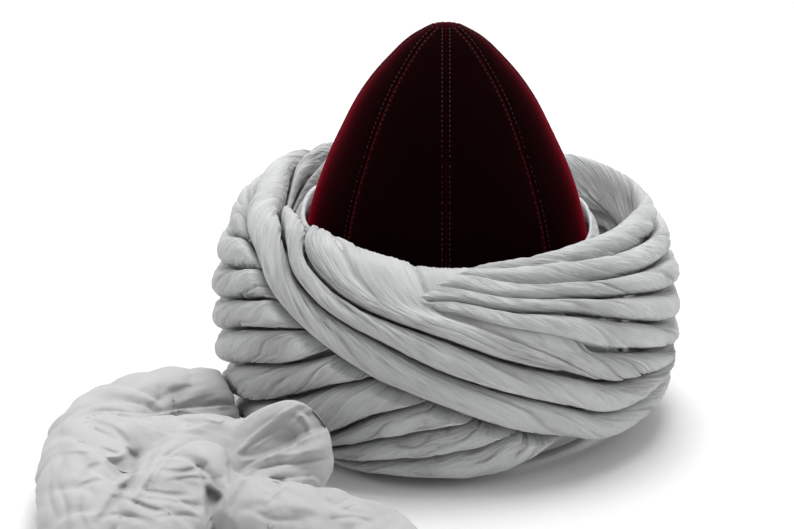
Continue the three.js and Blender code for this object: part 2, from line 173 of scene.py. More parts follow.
# Tables. Shares of the driving sizes, as in the CAD
CAP_OUTLINE = [  # height, radius
    (0, 1),
    (0.158, 0.998),
    (0.316, 0.984),
    (0.443, 0.951),
    (0.553, 0.888),
    (0.644, 0.803),
    (0.727, 0.703),
    (0.802, 0.6),
    (0.866, 0.486),
    (0.917, 0.368),
    (0.957, 0.261),
    (0.982, 0.163),
    (0.996, 0.084),
    (1, 0),
]
WINDING_OUTLINE = [  # girth, outer radius, outer height, core radius, core height
    (0, 0.784, 0.021, 0.706, 0.041),
    (0.065, 0.878, 0.034, 0.706, 0.069),
    (0.13, 0.939, 0.103, 0.709, 0.124),
    (0.204, 0.976, 0.207, 0.709, 0.221),
    (0.296, 0.997, 0.345, 0.709, 0.345),
    (0.37, 1, 0.455, 0.709, 0.441),
    (0.468, 0.997, 0.6, 0.713, 0.552),
    (0.574, 0.97, 0.759, 0.73, 0.648),
    (0.644, 0.932, 0.855, 0.75, 0.69),
    (0.713, 0.878, 0.938, 0.764, 0.71),
    (0.769, 0.811, 0.993, 0.764, 0.721),
    (0.819, 0.736, 1, 0.757, 0.724),
    (0.87, 0.676, 0.959, 0.747, 0.721),
    (0.926, 0.655, 0.883, 0.736, 0.714),
    (1, 0.662, 0.772, 0.726, 0.703),
]
RIM_LIFT = [  # azimuth, lift
    (-180, 0.035),
    (-120, 0.055),
    (-90, 0.03),
    (-45, 0),
    (-20, -0.065),
    (0, -0.095),
    (25, -0.08),
    (55, -0.045),
    (90, 0),
    (120, 0.02),
]
# Bands of turns: azimuth, low edge, high edge, share of the band that the lowest turn takes
CROSSING_BAND = [
    (-180, 0.44, 0.648, 0.36),
    (-150, 0.602, 0.796, 0.38),
    (-120, 0.718, 0.944, 0.42),
    (-90, 0.759, 0.981, 0.58),
    (-75, 0.705, 0.972, 0.5),
    (-60, 0.66, 0.954, 0.46),
    (-50, 0.59, 0.907, 0.44),
    (-42, 0.537, 0.815, 0.4),
    (-30, 0.472, 0.755, 0.36),
    (-15, 0.384, 0.685, 0.39),
    (0, 0.319, 0.625, 0.33),
    (15, 0.245, 0.542, 0.37),
    (30, 0.19, 0.481, 0.34),
    (45, 0.135, 0.412, 0.33),
    (60, 0.127, 0.361, 0.4),
    (75, 0.127, 0.306, 0.58),
    (90, 0.13, 0.269, 0.66),
    (120, 0.139, 0.306, 0.5),
    (150, 0.278, 0.486, 0.38),
]
RISING_BAND = [
    (-180, 0.231, 0.741, 0.2),
    (-150, 0.204, 0.731, 0.2),
    (-120, 0.194, 0.731, 0.2),
    (-90, 0.202, 0.731, 0.2),
    (-75, 0.263, 0.769, 0.21),
    (-60, 0.319, 0.815, 0.23),
    (-45, 0.376, 0.833, 0.24),
    (-32, 0.442, 0.861, 0.2),
    (-24, 0.53, 0.87, 0.2),
    (-15, 0.61, 0.88, 0.2),
    (0, 0.63, 0.88, 0.23),
    (15, 0.542, 0.861, 0.28),
    (30, 0.481, 0.847, 0.28),
    (45, 0.412, 0.833, 0.24),
    (60, 0.361, 0.81, 0.21),
    (75, 0.306, 0.796, 0.18),
    (90, 0.269, 0.764, 0.17),
    (120, 0.306, 0.764, 0.2),
    (150, 0.269, 0.75, 0.2),
]
FOOT_BAND = [
    (-180, 0.065, 0.231, 0.5),
    (-150, 0.046, 0.204, 0.5),
    (-120, 0.032, 0.194, 0.45),
    (-90, 0.037, 0.202, 0.4),
    (-75, 0.056, 0.263, 0.47),
    (-60, 0.065, 0.319, 0.54),
    (-45, 0.12, 0.376, 0.57),
    (-30, 0.199, 0.444, 0.6),
    (-15, 0.292, 0.519, 0.47),
    (0, 0.333, 0.565, 0.45),
    (15, 0.278, 0.519, 0.5),
    (30, 0.213, 0.454, 0.5),
    (45, 0.167, 0.398, 0.5),
    (60, 0.157, 0.343, 0.5),
    (75, 0.148, 0.296, 0.5),
    (90, 0.139, 0.259, 0.5),
    (120, 0.139, 0.296, 0.5),
    (150, 0.074, 0.25, 0.5),
]
FRONT_BAND = [
    (-62, 0.056, 0.102, 0.33),
    (-45, 0.046, 0.12, 0.33),
    (-30, 0.05, 0.199, 0.31),
    (-15, 0.07, 0.292, 0.32),
    (0, 0.052, 0.347, 0.4),
    (8, 0.06, 0.361, 0.44),
    (15, 0.08, 0.361, 0.5),
    (23, 0.13, 0.361, 0.47),
    (32, 0.167, 0.343, 0.4),
    (46, 0.176, 0.324, 0.33),
]
# Outer and inner depths, as shares of the way from the winding's outside to its core
CROSSING_DEPTH = (-0.04, 0.58)
OPEN_DEPTH = (-0.04, 0.8)
BURIED_DEPTH = (0.61, 0.98)
FRONT_DEPTH = (-0.03, 0.7)
NO_LIMIT = OPEN_DEPTH[0] - 0.1  # a depth outside every turn, so that it holds none back
# Shares of girth inside the crossing band's edges between which a turn's middle sinks under it
SINKS_AT_FOOT = (0.02, 0.12)
SINKS_AT_TOP = (0.03, 0.13)
EDGE_EASE = (-0.03, 0.004)  # the same for the cloth that is pushed clear of the band
EDGE_CLEAR = 0.003
UNDER_CLEAR = 0.02
SECTION_SQUARENESS = 0.78
LIFTED_GIRTH = (0.5, 0.75)  # shares of girth between which the rim's lift sets in

# The thin sheet that the top crossing turn fans out into, over the rising turns at the front
FAN_TURN = "crossing_turn_3"
FAN_OPENS = (-66, -50)  # azimuths at the left
FAN_CLOSES = (20, 38)  # azimuths at the right
FAN_DEPTH = (-0.05, 0.03)
FAN_CLEARANCE = 0.2
FAN_OVERHANG = 0.065  # share of girth that it reaches past the rising turns
FAN_LIP = 0.04  # depth that its edge rolls under by
FAN_ENDS = (-20, 7)  # azimuths at its foot and at its top
FAN_ENDS_GIRTH = (0.6, 0.9)
FAN_LEFT_DIP = 0.3
FAN_RIGHT_DIP = 0.5
FAN_DIP_LENGTH = 44  # degrees over which the right end goes under
COVER_ENDS = (-12, 20)  # degrees past that end over which the turns rise out of it
ROPE_PARTS = (-16, 14)  # azimuths over which the rope leaves the sheet
# At the left and at the right of that: the place on the section where the sheet starts, the
# distance it takes to get as thin as it is, and the power by which it is drawn out
SHEET_STARTS = (0.15, 0.7)
SHEET_THINS = (0.5, 0.25)
SHEET_POWER = (3, 8)
LIP_PLACE = (0.8, 1)
FLAT_OPENS = (-62, -46)  # azimuths between which the rising turns lie flat under it
FLAT_CLOSES = (6, 30)
FLAT_SQUARENESS = 0.4

# Creases of the wound cloth, in millimetres of depth
CREASE_LUMPS = 1.1
CREASE_FOLDS = [(5, 2.1), (11, 1.1)]  # folds round the turn, depth
CREASE_FINE = 0.9
CREASE_FINEST = 0.35
FOLD_EDGES = ((0, 0.16), (0.93, 1))  # shares of a fold's width over which it rises and falls
FOLD_LEAN = 0.45
FOLD_DRIFTS = (0.55, 0.3)
DEEPEST_CREASE = 4.2  # crease depth at which the painted shade is full
CREASE_LIMIT = 0.4  # share of the way to a turn's middle that a crease may reach
ROPE_RADIUS = 14  # for the weave's scale round a turn
SHEET_BACKING = 0.6  # how far under the fan its creases aim, as a share of depth
TABLE_CLEAR = 0.4


# Meshes
def add_piece(name, points, faces, material, slot, *nodes):
    """A smooth-shaded mesh from points in millimetres, which stands for CAD nodes."""
    mesh = bpy.data.meshes.new(name)
    mesh.from_pydata((np.asarray(points, float) * MM).tolist(), [], faces)
    mesh.materials.append(material)
    mesh.polygons.foreach_set("use_smooth", [True] * len(mesh.polygons))
    mesh.update()
    piece = linked(name, mesh)
    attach(piece, "root")
    if nodes:
        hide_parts(*nodes)
    return piece


def set_attribute(piece, name, values):
    """A number at each point, or a vector where values has three columns."""
    values = np.asarray(values, np.float32)
    kind, field = ("FLOAT", "value") if values.ndim == 1 else ("FLOAT_VECTOR", "vector")
    piece.data.attributes.new(name, kind, "POINT").data.foreach_set(field, values.ravel())


def grid_faces(rows, columns, ring_rows, ring_columns):
    """Quads between the points of a grid, which may close in a ring either way."""
    row_count = rows if ring_rows else rows - 1
    column_count = columns if ring_columns else columns - 1
    row, column = np.meshgrid(np.arange(row_count), np.arange(column_count), indexing="ij")
    next_row = (row + 1) % rows
    next_column = (column + 1) % columns
    corners = [
        row * columns + column,
        next_row * columns + column,
        next_row * columns + next_column,
        row * columns + next_column,
    ]
    return np.stack(corners, -1).reshape(-1, 4).tolist()


# Materials
class Nodes:
    """Short calls for building a material's nodes."""

    def __init__(self, name):
        self.material = bpy.data.materials.new(name)
        self.material.use_nodes = True
        self.tree = self.material.node_tree
        self.surface = self.tree.nodes["Principled BSDF"]

    def add(self, kind, inputs=None, **settings):
        node = self.tree.nodes.new(kind)
        for key, value in settings.items():
            setattr(node, key, value)
        for key, value in (inputs or {}).items():
            if isinstance(value, bpy.types.NodeSocket):
                self.tree.links.new(value, node.inputs[key])
            else:
                node.inputs[key].default_value = value
        return node

    def math(self, operation, first, second=0.0):
        return self.add("ShaderNodeMath", {0: first, 1: second}, operation=operation).outputs[0]

    def attribute(self, name, output):
        return self.add("ShaderNodeAttribute", attribute_name=name).outputs[output]

    def blend(self, share, low, high):
        node = self.add("ShaderNodeMix", {0: share, 6: low, 7: high}, data_type="RGBA")
        return node.outputs[2]

    def noise(self, place, scale, detail, roughness=0.5):
        inputs = {"Vector": place, "Scale": scale, "Detail": detail, "Roughness": roughness}
        return self.add("ShaderNodeTexNoise", inputs).outputs["Fac"]

    def stretch(self, vector, scales):
        inputs = {0: vector, 1: scales}
        return self.add("ShaderNodeVectorMath", inputs, operation="MULTIPLY").outputs[0]

    def bump(self, height, distance, strength, normal=None):
        inputs = {"Height": height, "Distance": distance, "Strength": strength}
        if normal is not None:
            inputs["Normal"] = normal
        return self.add("ShaderNodeBump", inputs).outputs[0]

    def set(self, **inputs):
        for key, value in inputs.items():
            socket = self.surface.inputs[key.replace("_", " ")]
            if isinstance(value, bpy.types.NodeSocket):
                self.tree.links.new(value, socket)
            else:
                socket.default_value = value


def muslin(name, light, shade, crease_share):
    """Fine plain-woven cotton. The strand attribute gives millimetres across and along the cloth. Its colour
    is darkened towards the shade colour in the creases and along fine fold lines: painted shade.
    """
    nodes = Nodes(name)
    strand = nodes.attribute("strand", "Vector")
    crease_shade = nodes.attribute("crease_shade", "Fac")
    drawn_out = nodes.stretch(strand, (0.42, 0.42, 0.028))
    fold_noise = nodes.math("SUBTRACT", nodes.noise(drawn_out, 1.0, 2.0, 0.55), 0.5)
    fold_line = nodes.math("MULTIPLY", nodes.math("ABSOLUTE", fold_noise), 9.0)
    fold_line = nodes.math("MINIMUM", fold_line, 1.0)
    weft = nodes.add(
        "ShaderNodeTexWave",
        {"Vector": strand, "Scale": 0.42, "Distortion": 1.2, "Detail": 1.0},
        bands_direction="DIAGONAL",
    )
    # Random variation in how dark the painted crease shade is
    shade_variation = nodes.math("ADD", nodes.noise(strand, 0.05, 3.0), 0.5)
    # Painted shade along the fine fold lines
    fine_shade = nodes.math("MULTIPLY", nodes.math("SUBTRACT", 1.0, fold_line), crease_share / 2)
    # Painted shade: the larger of the two darkens the cloth colour towards the shade colour
    painted_shade = nodes.math("MAXIMUM", nodes.math("MULTIPLY", crease_shade, shade_variation), fine_shade)
    nodes.set(
        Base_Color=nodes.blend(painted_shade, light, shade),
        Roughness=0.88,
        Normal=nodes.bump(weft.outputs["Fac"], 0.00012, 0.35, nodes.bump(fold_line, 0.0006, crease_share)),
        Sheen_Weight=0.15,
        Sheen_Roughness=0.5,
        Specular_IOR_Level=0.15,
    )
    return nodes.material


def velvet(name):
    """Dark pile that glows where it is seen edge on."""
    nodes = Nodes(name)
    place = nodes.add("ShaderNodeTexCoord").outputs["Object"]
    nap = nodes.noise(place, 22.0, 3.0)
    pile = nodes.noise(place, 1400.0, 1.0)
    nodes.set(
        Base_Color=nodes.blend(nap, (0.002, 0, 0.0001, 1), (0.005, 0, 0.0003, 1)),
        Roughness=0.9,
        Normal=nodes.bump(pile, 0.0004, 0.3),
        Sheen_Weight=1.0,
        Sheen_Roughness=0.29,
        Sheen_Tint=(0.36, 0, 0.018, 1),
        Specular_IOR_Level=0.02,
    )
    return nodes.material


def thread(name):
    """Dull twisted thread, a little redder than the velvet."""
    nodes = Nodes(name)
    ply = nodes.noise(nodes.add("ShaderNodeTexCoord").outputs["Object"], 900.0, 1.0)
    nodes.set(
        Base_Color=nodes.blend(ply, (0.03, 0.003, 0.004, 1), (0.06, 0.008, 0.008, 1)),
        Roughness=0.6,
        Normal=nodes.bump(ply, 0.0002, 0.4),
        Specular_IOR_Level=0.3,
    )
    return nodes.material


# Each: the cloth's colour, the colour of the painted shade in its creases, and the strength of its crease
# bump and painted fold-line shade
WOUND_MUSLIN = muslin("wound_muslin", (0.67, 0.68, 0.68, 1), (0.31, 0.31, 0.32, 1), 0.6)
LOOSE_MUSLIN = muslin("loose_muslin", (0.53, 0.525, 0.532, 1), (0.36, 0.35, 0.35, 1), 0.12)
VELVET = velvet("maroon_velvet")
THREAD = thread("maroon_thread")

# Winding
outer_radius_at = smooth_curve(WINDING_OUTLINE, 1)
outer_height_at = smooth_curve(WINDING_OUTLINE, 2)
core_radius_at = smooth_curve(WINDING_OUTLINE, 3)
core_height_at = smooth_curve(WINDING_OUTLINE, 4)
rim_lift_at = smooth_curve(RIM_LIFT, 1, 360)


def winding_point(azimuth, girth, depth):
    """The place on the winding, in millimetres, of an azimuth, a share of girth and a depth."""
    radius = WRAP_RADIUS * mix(outer_radius_at(girth), core_radius_at(girth), depth)
    lift = rim_lift_at(azimuth) * smoothstep(*LIFTED_GIRTH, girth)
    height = WRAP_HEIGHT * (mix(outer_height_at(girth), core_height_at(girth), depth) + lift)
    angle = np.radians(azimuth)
    return np.stack([radius * np.sin(angle), -radius * np.cos(angle), height], -1)


class Band:
    """Turns lying side by side round the winding."""

    def __init__(self, rows, turns, period=360):
        self.low = smooth_curve(rows, 1, period)
        self.high = smooth_curve(rows, 2, period)
        self.lead = smooth_curve(rows, 3, period)
        self.turns = turns

    def edges(self, turn, azimuth):
        low = self.low(azimuth)
        width = self.high(azimuth) - low
        lead = self.lead(azimuth)

        def edge(number):
            return 0 if number == 0 else lead + (1 - lead) * (number - 1) / (self.turns - 1)

        return low + width * edge(turn), low + width * edge(turn + 1)


crossing = Band(CROSSING_BAND, 3)
rising = Band(RISING_BAND, 5)
foot = Band(FOOT_BAND, 2)
front = Band(FRONT_BAND, 3, 0)


def flattened(azimuth):
    """How flat the rising turns lie under the fan: 1 fully, 0 not."""
    return smoothstep(*FLAT_OPENS, azimuth) * (1 - smoothstep(*FLAT_CLOSES, azimuth))


def spread(azimuth):
    """How far the top crossing turn fans out over the rising turns: 1 fully, 0 not."""
    return smoothstep(*FAN_OPENS, azimuth) * (1 - smoothstep(*FAN_CLOSES, azimuth))


def past_fan(azimuth, girth):
    """Degrees past the azimuth at which the rising turns come out of the fan, later higher up."""
    return azimuth - mix(*FAN_ENDS, smoothstep(*FAN_ENDS_GIRTH, girth))


def fan_dip(azimuth, girth):
    """Depth that the fan's two ends dip to, between the rising turns."""
    left = FAN_LEFT_DIP * (1 - smoothstep(*FAN_OPENS, azimuth))
    return left + FAN_RIGHT_DIP * smoothstep(0, FAN_DIP_LENGTH, past_fan(azimuth, girth))


def sinking(low, high, azimuth):
    """How far a turn has sunk under the crossing band: 0 in the open, 1 fully under."""
    middle = (low + high) / 2
    below = smoothstep(*SINKS_AT_FOOT, middle - crossing.low(azimuth))
    above = smoothstep(*SINKS_AT_TOP, crossing.high(azimuth) - middle)
    return below * above


def keep_under_crossing(azimuth, girth, depth):
    """Depth at which a place under the crossing band is clear of it."""
    outer, inner = CROSSING_DEPTH
    half_girth = (crossing.high(azimuth) - crossing.low(azimuth)) / crossing.turns / 2
    inside = np.minimum(girth - crossing.low(azimuth), crossing.high(azimuth) - girth) + EDGE_CLEAR
    share = np.clip(1 - inside / half_girth, 0, 1)
    bulge = (1 - share ** (2 / SECTION_SQUARENESS)) ** (SECTION_SQUARENESS / 2)
    floor = (outer + inner) / 2 + (inner - outer) / 2 * bulge
    under_turns = mix(NO_LIMIT, floor + UNDER_CLEAR, smoothstep(*EDGE_EASE, inside))
    depth = np.where(inside > EDGE_EASE[0], np.maximum(depth, under_turns), depth)
    covered = smoothstep(*FAN_OPENS, azimuth) * (1 - smoothstep(*COVER_ENDS, past_fan(azimuth, girth)))
    under_fan = mix(NO_LIMIT, FAN_CLEARANCE, covered)
    above_middle = girth > (crossing.high(azimuth) + crossing.low(azimuth)) / 2
    return np.where(above_middle, np.maximum(depth, under_fan), depth)


def folds(across, along, count, seed):
    """Overlapping lengthwise folds: 0 on their backs, 1 in the valleys between them."""
    drift = FOLD_DRIFTS[0] * ring_noise(across, along, 3, 7, seed)
    drift = drift + FOLD_DRIFTS[1] * ring_noise(across, along, 6, 19, seed + 1)
    place = (across * count + drift * count / 5) % 1
    back = smoothstep(*FOLD_EDGES[0], place) * (1 - smoothstep(*FOLD_EDGES[1], place))
    back = back * (1 - FOLD_LEAN * place)
    strength = smoothstep(-0.45, 0.35, ring_noise(across, along, 3, 11, seed + 2))
    return (1 - back) * strength


def creases(across, along, seed):
    """Depth in millimetres of a twisted turn's creases, which run along it."""
    lumps = 0.5 + 0.5 * ring_noise(across, along, 3, 17, seed)
    fine = np.maximum(1 - np.abs(ring_noise(across, along, 19, 31, seed + 3)) / 0.2, 0)
    finest = np.maximum(1 - np.abs(ring_noise(across, along, 29, 47, seed + 4)) / 0.25, 0)
    strength = smoothstep(-0.4, 0.5, ring_noise(across, along, 4, 13, seed + 5))
    depth = CREASE_LUMPS * lumps + CREASE_FINE * fine * strength + CREASE_FINEST * finest
    for number, (count, fold_depth) in enumerate(CREASE_FOLDS):
        depth = depth + fold_depth * folds(across, along, count, seed + 10 * (number + 1))
    return depth


def superellipse(turned, squareness):
    """Places from -1 to 1 across and out of a turn's section, round it."""
    across = np.sign(np.cos(turned)) * np.abs(np.cos(turned)) ** squareness
    outwards = np.sign(np.sin(turned)) * np.abs(np.sin(turned)) ** squareness
    return across, outwards


def fan_out(column, across, outwards, high):
    """How far the top crossing turn's section reaches up, how much of it is sheet, and how deep."""
    upper = np.maximum(across, 0)
    parting = smoothstep(*ROPE_PARTS, column)
    reach = np.maximum(rising.high(column) + FAN_OVERHANG - high, 0) * spread(column)
    rise = (upper - mix(*SHEET_STARTS, parting)) / mix(*SHEET_THINS, parting)
    sheet = smoothstep(0, 1, rise) * spread(column)
    sheet_depth = mix(FAN_DEPTH[1], FAN_DEPTH[0], smoothstep(-0.5, 0.5, outwards))
    sheet_depth = sheet_depth + FAN_LIP * smoothstep(*LIP_PLACE, upper)
    return reach * upper ** mix(*SHEET_POWER, parting), sheet, sheet_depth


def strand_mesh(name, azimuth, low, high, outer, inner, twist, seed, ring):
    """One turn as a twisted rope of cloth. Its mesh follows the twist, so that creases stay crisp."""
    fans = name == FAN_TURN
    side_count = 2 * TURN_SIDES if fans else TURN_SIDES
    column = azimuth[:, None]
    side = np.arange(side_count)[None, :] / side_count + 0 * column
    along = np.arange(len(azimuth))[:, None] / len(azimuth) + 0 * side
    flat = flattened(column) * name.startswith("rising")
    squareness = mix(SECTION_SQUARENESS, FLAT_SQUARENESS, flat)
    across, outwards = superellipse(2 * math.pi * side + twist[:, None], squareness)
    low, high, outer, inner = (edge[:, None] for edge in (low, high, outer, inner))
    middle_girth = (low + high) / 2
    middle_depth = (outer + inner) / 2
    girth = middle_girth + ((high - low) / 2 - GAP / 2 / WRAP_GIRTH) * across
    depth = middle_depth - (inner - outer) / 2 * outwards
    sheet = 0 * across
    if fans:
        reach, sheet, sheet_depth = fan_out(column, across, outwards, high)
        girth = girth + reach
        depth = mix(depth, sheet_depth + fan_dip(column, girth), sheet)
    if not name.startswith("crossing"):
        depth = keep_under_crossing(column, girth, depth)
    points = winding_point(column, girth, depth)
    middle_line = winding_point(column, middle_girth, middle_depth)
    dent = creases(side, along, seed)
    facing_out = smoothstep(0, 0.6, outwards)
    dent = dent * (1 - sheet * (1 - facing_out))
    under_sheet = winding_point(column, girth, depth + SHEET_BACKING)
    inwards = mix(middle_line, under_sheet, sheet[..., None]) - points
    distance = np.linalg.norm(inwards, axis=-1, keepdims=True)
    pressed_in = np.minimum(dent[..., None], CREASE_LIMIT * distance)
    points = points + inwards / np.maximum(distance, 1e-6) * pressed_in
    points[..., 2] = np.maximum(points[..., 2], TABLE_CLEAR)
    steps = np.diff(middle_line, axis=0, prepend=middle_line[:1])
    length = np.cumsum(np.linalg.norm(steps, axis=-1), axis=0) + 0 * side
    round_turn = ROPE_RADIUS * np.stack([np.cos(2 * math.pi * side), np.sin(2 * math.pi * side)], -1)
    faces = grid_faces(len(azimuth), side_count, ring, True)
    if not ring:
        count = len(azimuth) * side_count
        faces.append(list(range(side_count)))
        faces.append(list(range(count - 1, count - side_count - 1, -1)))
    piece = add_piece(f"{name}_cloth", points.reshape(-1, 3), faces, WOUND_MUSLIN, "muslin", name)
    set_attribute(piece, "strand", np.concatenate([round_turn, length[..., None]], -1).reshape(-1, 3))
    # Painted shade in the creases, darker the deeper they are pressed in
    set_attribute(piece, "crease_shade", np.clip(dent / DEEPEST_CREASE, 0, 1).ravel())


CROSSING_TWISTS = 5  # turns of twist in a whole ring
RISING_TWISTS = 2.6
FOOT_TWISTS = -5
RISING_PARTS = -20  # azimuth at which the rising turns' twist turns over
FAN_SLOWS = 0.72  # share of its twist that the top crossing turn loses where it fans out
ROPES_SLOW = 0.2
SEEDS = {"crossing_turn": 100, "rising_turn": 300, "foot_turn": 600, "front_layer": 800}
SEED_STEP = 40
FRONT_TUCKS = ((0, 0.42), (0.75, 1))  # shares of a front layer's length that go under at its ends


def ring_twist(azimuth, turns, waver):
    """A steady twist round the whole ring, with a little unevenness."""
    angle = np.radians(azimuth)
    return turns * angle + 0.35 * np.sin(3 * angle + waver) + 0.2 * np.sin(7 * angle)


def crossing_twist(azimuth, turn):
    """The crossing turns' twist, which slows down where the top one fans out."""
    rate = 1 - (FAN_SLOWS if turn == crossing.turns - 1 else ROPES_SLOW) * spread(azimuth)
    return ring_twist(360 * np.cumsum(rate) / rate.sum(), CROSSING_TWISTS, turn)


def rising_twist(azimuth, turn):
    """A twist that leans one way on either side of the front, and turns over there and at the back."""
    beyond = azimuth - RISING_PARTS
    share = np.where(beyond < 0, -beyond / (180 + RISING_PARTS), beyond / (180 - RISING_PARTS))
    return 2 * math.pi * RISING_TWISTS * (share - share**6 / 6) + turn


def foot_twist(azimuth, turn):
    return ring_twist(azimuth, FOOT_TWISTS, turn + 4)


def front_twist(azimuth, layer):
    return ring_twist(azimuth, FOOT_TWISTS, layer)


def add_turns(name, band, azimuth, open_depth, twist_of, tucked=0, ring=True):
    """A band's turns, or its layers, which sink under the crossing turns and where they are tucked."""
    for turn in range(band.turns):
        low, high = band.edges(turn, azimuth)
        sunk = 0 * azimuth if band is crossing else np.maximum(tucked, sinking(low, high, azimuth))
        outer = mix(open_depth[0], BURIED_DEPTH[0], sunk)
        inner = mix(open_depth[1], BURIED_DEPTH[1], sunk)
        twist = twist_of(azimuth, turn)
        seed = SEEDS[name] + SEED_STEP * turn
        strand_mesh(f"{name}_{turn + 1}", azimuth, low, high, outer, inner, twist, seed, ring)


round_azimuth = -180 + 360 * np.arange(TURN_STATIONS) / TURN_STATIONS
front_share = np.arange(FRONT_STATIONS) / (FRONT_STATIONS - 1)
front_azimuth = mix(FRONT_BAND[0][0], FRONT_BAND[-1][0], front_share)
left_tuck = 1 - smoothstep(*FRONT_TUCKS[0], front_share)
right_tuck = smoothstep(*FRONT_TUCKS[1], front_share)
front_tucks = np.maximum(left_tuck, right_tuck)
add_turns("crossing_turn", crossing, round_azimuth, CROSSING_DEPTH, crossing_twist)
add_turns("rising_turn", rising, round_azimuth, OPEN_DEPTH, rising_twist)
add_turns("foot_turn", foot, round_azimuth, OPEN_DEPTH, foot_twist)
add_turns("front_layer", front, front_azimuth, FRONT_DEPTH, front_twist, front_tucks, ring=False)

# Liner
LINER_SECTION = [(0.03, 1), (0.35, 1.08), (0.7, 0.84), (0.93, 0.92), (1, 0.42)]  # height, thickness
LINER_FOLDS = (1.5, 0.9)  # depths of the long folds and of the short ones
LINER_SLANT = 0.16  # turns that a fold goes round as it climbs
LINER_THINNEST = 1.2
LINER_CROWDING = 0.8  # below 1, so that rows lie closer together at the rim
LINER_CLOTH = 60  # for the weave's scale up it
LINER_DEEPEST = 3  # fold depth at which the painted shade is full
LINER_SEEDS = (40, 50)
LINER_RIM = (0.78, 0.93)  # shares of its height over which its top edge starts to wave
cap_radius_at = smooth_curve(CAP_OUTLINE, 1)


def add_liner():
    """The first flat turns of muslin against the cap, with slanting folds."""
    thickness_at = smooth_curve(LINER_SECTION, 1)
    azimuth = (360 * np.arange(LINER_STATIONS) / LINER_STATIONS)[:, None]
    angle = np.radians(azimuth)
    wave = np.sin(3 * angle + 0.6) + 0.6 * np.sin(7 * angle + 2)
    top_wave = LINER_THICKNESS * wave / 3 + rim_lift_at(azimuth) * WRAP_HEIGHT

    def place(share, outwards):
        height = share * LINER_HEIGHT + smoothstep(*LINER_RIM, share) * top_wave
        radius = cap_radius_at(height / CAP_HEIGHT) * CAP_RADIUS + LINER_EASE + outwards
        return np.stack([radius * np.sin(angle), -radius * np.cos(angle), height], -1)

    foot_share = LINER_SECTION[0][0]
    outer_share = mix(foot_share, 1, np.linspace(0, 1, LINER_ROWS) ** LINER_CROWDING)[None, :]
    inner_share = mix(1, foot_share, np.linspace(0, 1, LINER_INNER_ROWS))[None, :]
    slant = (azimuth / 360 + LINER_SLANT * outer_share) % 1
    dent = LINER_FOLDS[0] * folds(outer_share, slant, 4, LINER_SEEDS[0])
    dent = dent + LINER_FOLDS[1] * folds(slant, outer_share, 60, LINER_SEEDS[1])
    folded = wave * np.where(outer_share > 0.6, 0.12, 0.06)
    outwards = LINER_THICKNESS * (thickness_at(outer_share) + folded)
    outer = place(outer_share + 0 * azimuth, np.maximum(outwards - dent, LINER_THINNEST))
    inner = place(inner_share + 0 * azimuth, 0)
    points = np.concatenate([outer, inner], axis=1)
    faces = grid_faces(LINER_STATIONS, LINER_ROWS + LINER_INNER_ROWS, True, True)
    piece = add_piece("liner_wrap_cloth", points.reshape(-1, 3), faces, WOUND_MUSLIN, "muslin", "liner_wrap")
    height = points[..., 2]
    upwards = LINER_CLOTH * height / WRAP_HEIGHT
    cloth = np.stack([upwards, 0 * height, CAP_RADIUS * angle + 0 * height], -1)
    # Painted shade in the folds of the outside, darker the deeper they are
    crease_shade = np.zeros(height.shape)
    crease_shade[:, :LINER_ROWS] = np.clip(dent / LINER_DEEPEST, 0, 1)
    set_attribute(piece, "strand", cloth.reshape(-1, 3))
    set_attribute(piece, "crease_shade", crease_shade.ravel())


add_liner()

# Cap
SEAM_DIP = 0.985
SEAM_SLANT = 1.2  # the wall's edges slant, so that no light passes through a seam
SEAM_GROOVE = (1.0, 0.9)  # depth and half width in millimetres
STITCH_GROOVE = (0.45, 0.8)
PUCKER_DEPTH = 0.16
PUCKER_PITCH = 6.5
PUCKER_REACH = 5
CAP_DENTS = 0.7
CAP_SEED = 7
TIP_FADE = (0, 14)  # radii between which the dips fade out towards the tip
SLANT_FADE = (2, 20)  # the same for the slant of the wall's edges
THINNEST_TIP = 0.05
TIP_CROWDING = 1.55  # above 1, so that rows lie closer together at the tip
SEAM_CROWDING = 1.7  # the same for columns at the seams
SEAM_GAP = 0.1
STITCH_OFFSET = 2.3  # from the seam to a row of topstitching
STITCH_PITCH = 3.1
STITCH_LENGTH = 2.3
STITCH_RADIUS = 0.32
STITCH_LIFT = 0.12
STITCH_SIDES = 5
STITCH_SHAPE = [(-0.5, 0.35, 0.3), (-0.3, 1, 0), (0.3, 1, 0), (0.5, 0.35, 0.3)]  # way, size, sink


def cap_wall(share, inward):
    """Radius and height of the cap's wall at a share of its height, inward of its outside."""
    step = 0.002
    below = np.maximum(share - step, 0)
    above = np.minimum(share + step, 1)
    rise = (cap_radius_at(above) - cap_radius_at(below)) * CAP_RADIUS
    run = (above - below) * CAP_HEIGHT
    length = np.hypot(rise, run)
    radius = cap_radius_at(share) * CAP_RADIUS - inward * run / length
    height = share * CAP_HEIGHT + inward * rise / length
    return np.maximum(radius, 0.0), height


def cap_dents(azimuth, share):
    """The soft unevenness of the velvet over its stiffening, in millimetres inwards."""
    return CAP_DENTS * (0.5 + 0.5 * ring_noise((azimuth / 360) % 1, share, 9, 7, CAP_SEED))


def seam_shape(distance, height):
    """How far the velvet dips beside a seam, for distances in millimetres from it."""
    groove = SEAM_GROOVE[0] * np.exp(-((distance / SEAM_GROOVE[1]) ** 2))
    stitched = STITCH_GROOVE[0] * np.exp(-(((distance - STITCH_OFFSET) / STITCH_GROOVE[1]) ** 2))
    puckers = PUCKER_DEPTH * (1 + np.sin(2 * math.pi * height / PUCKER_PITCH))
    return groove + stitched + puckers * np.exp(-distance / PUCKER_REACH)


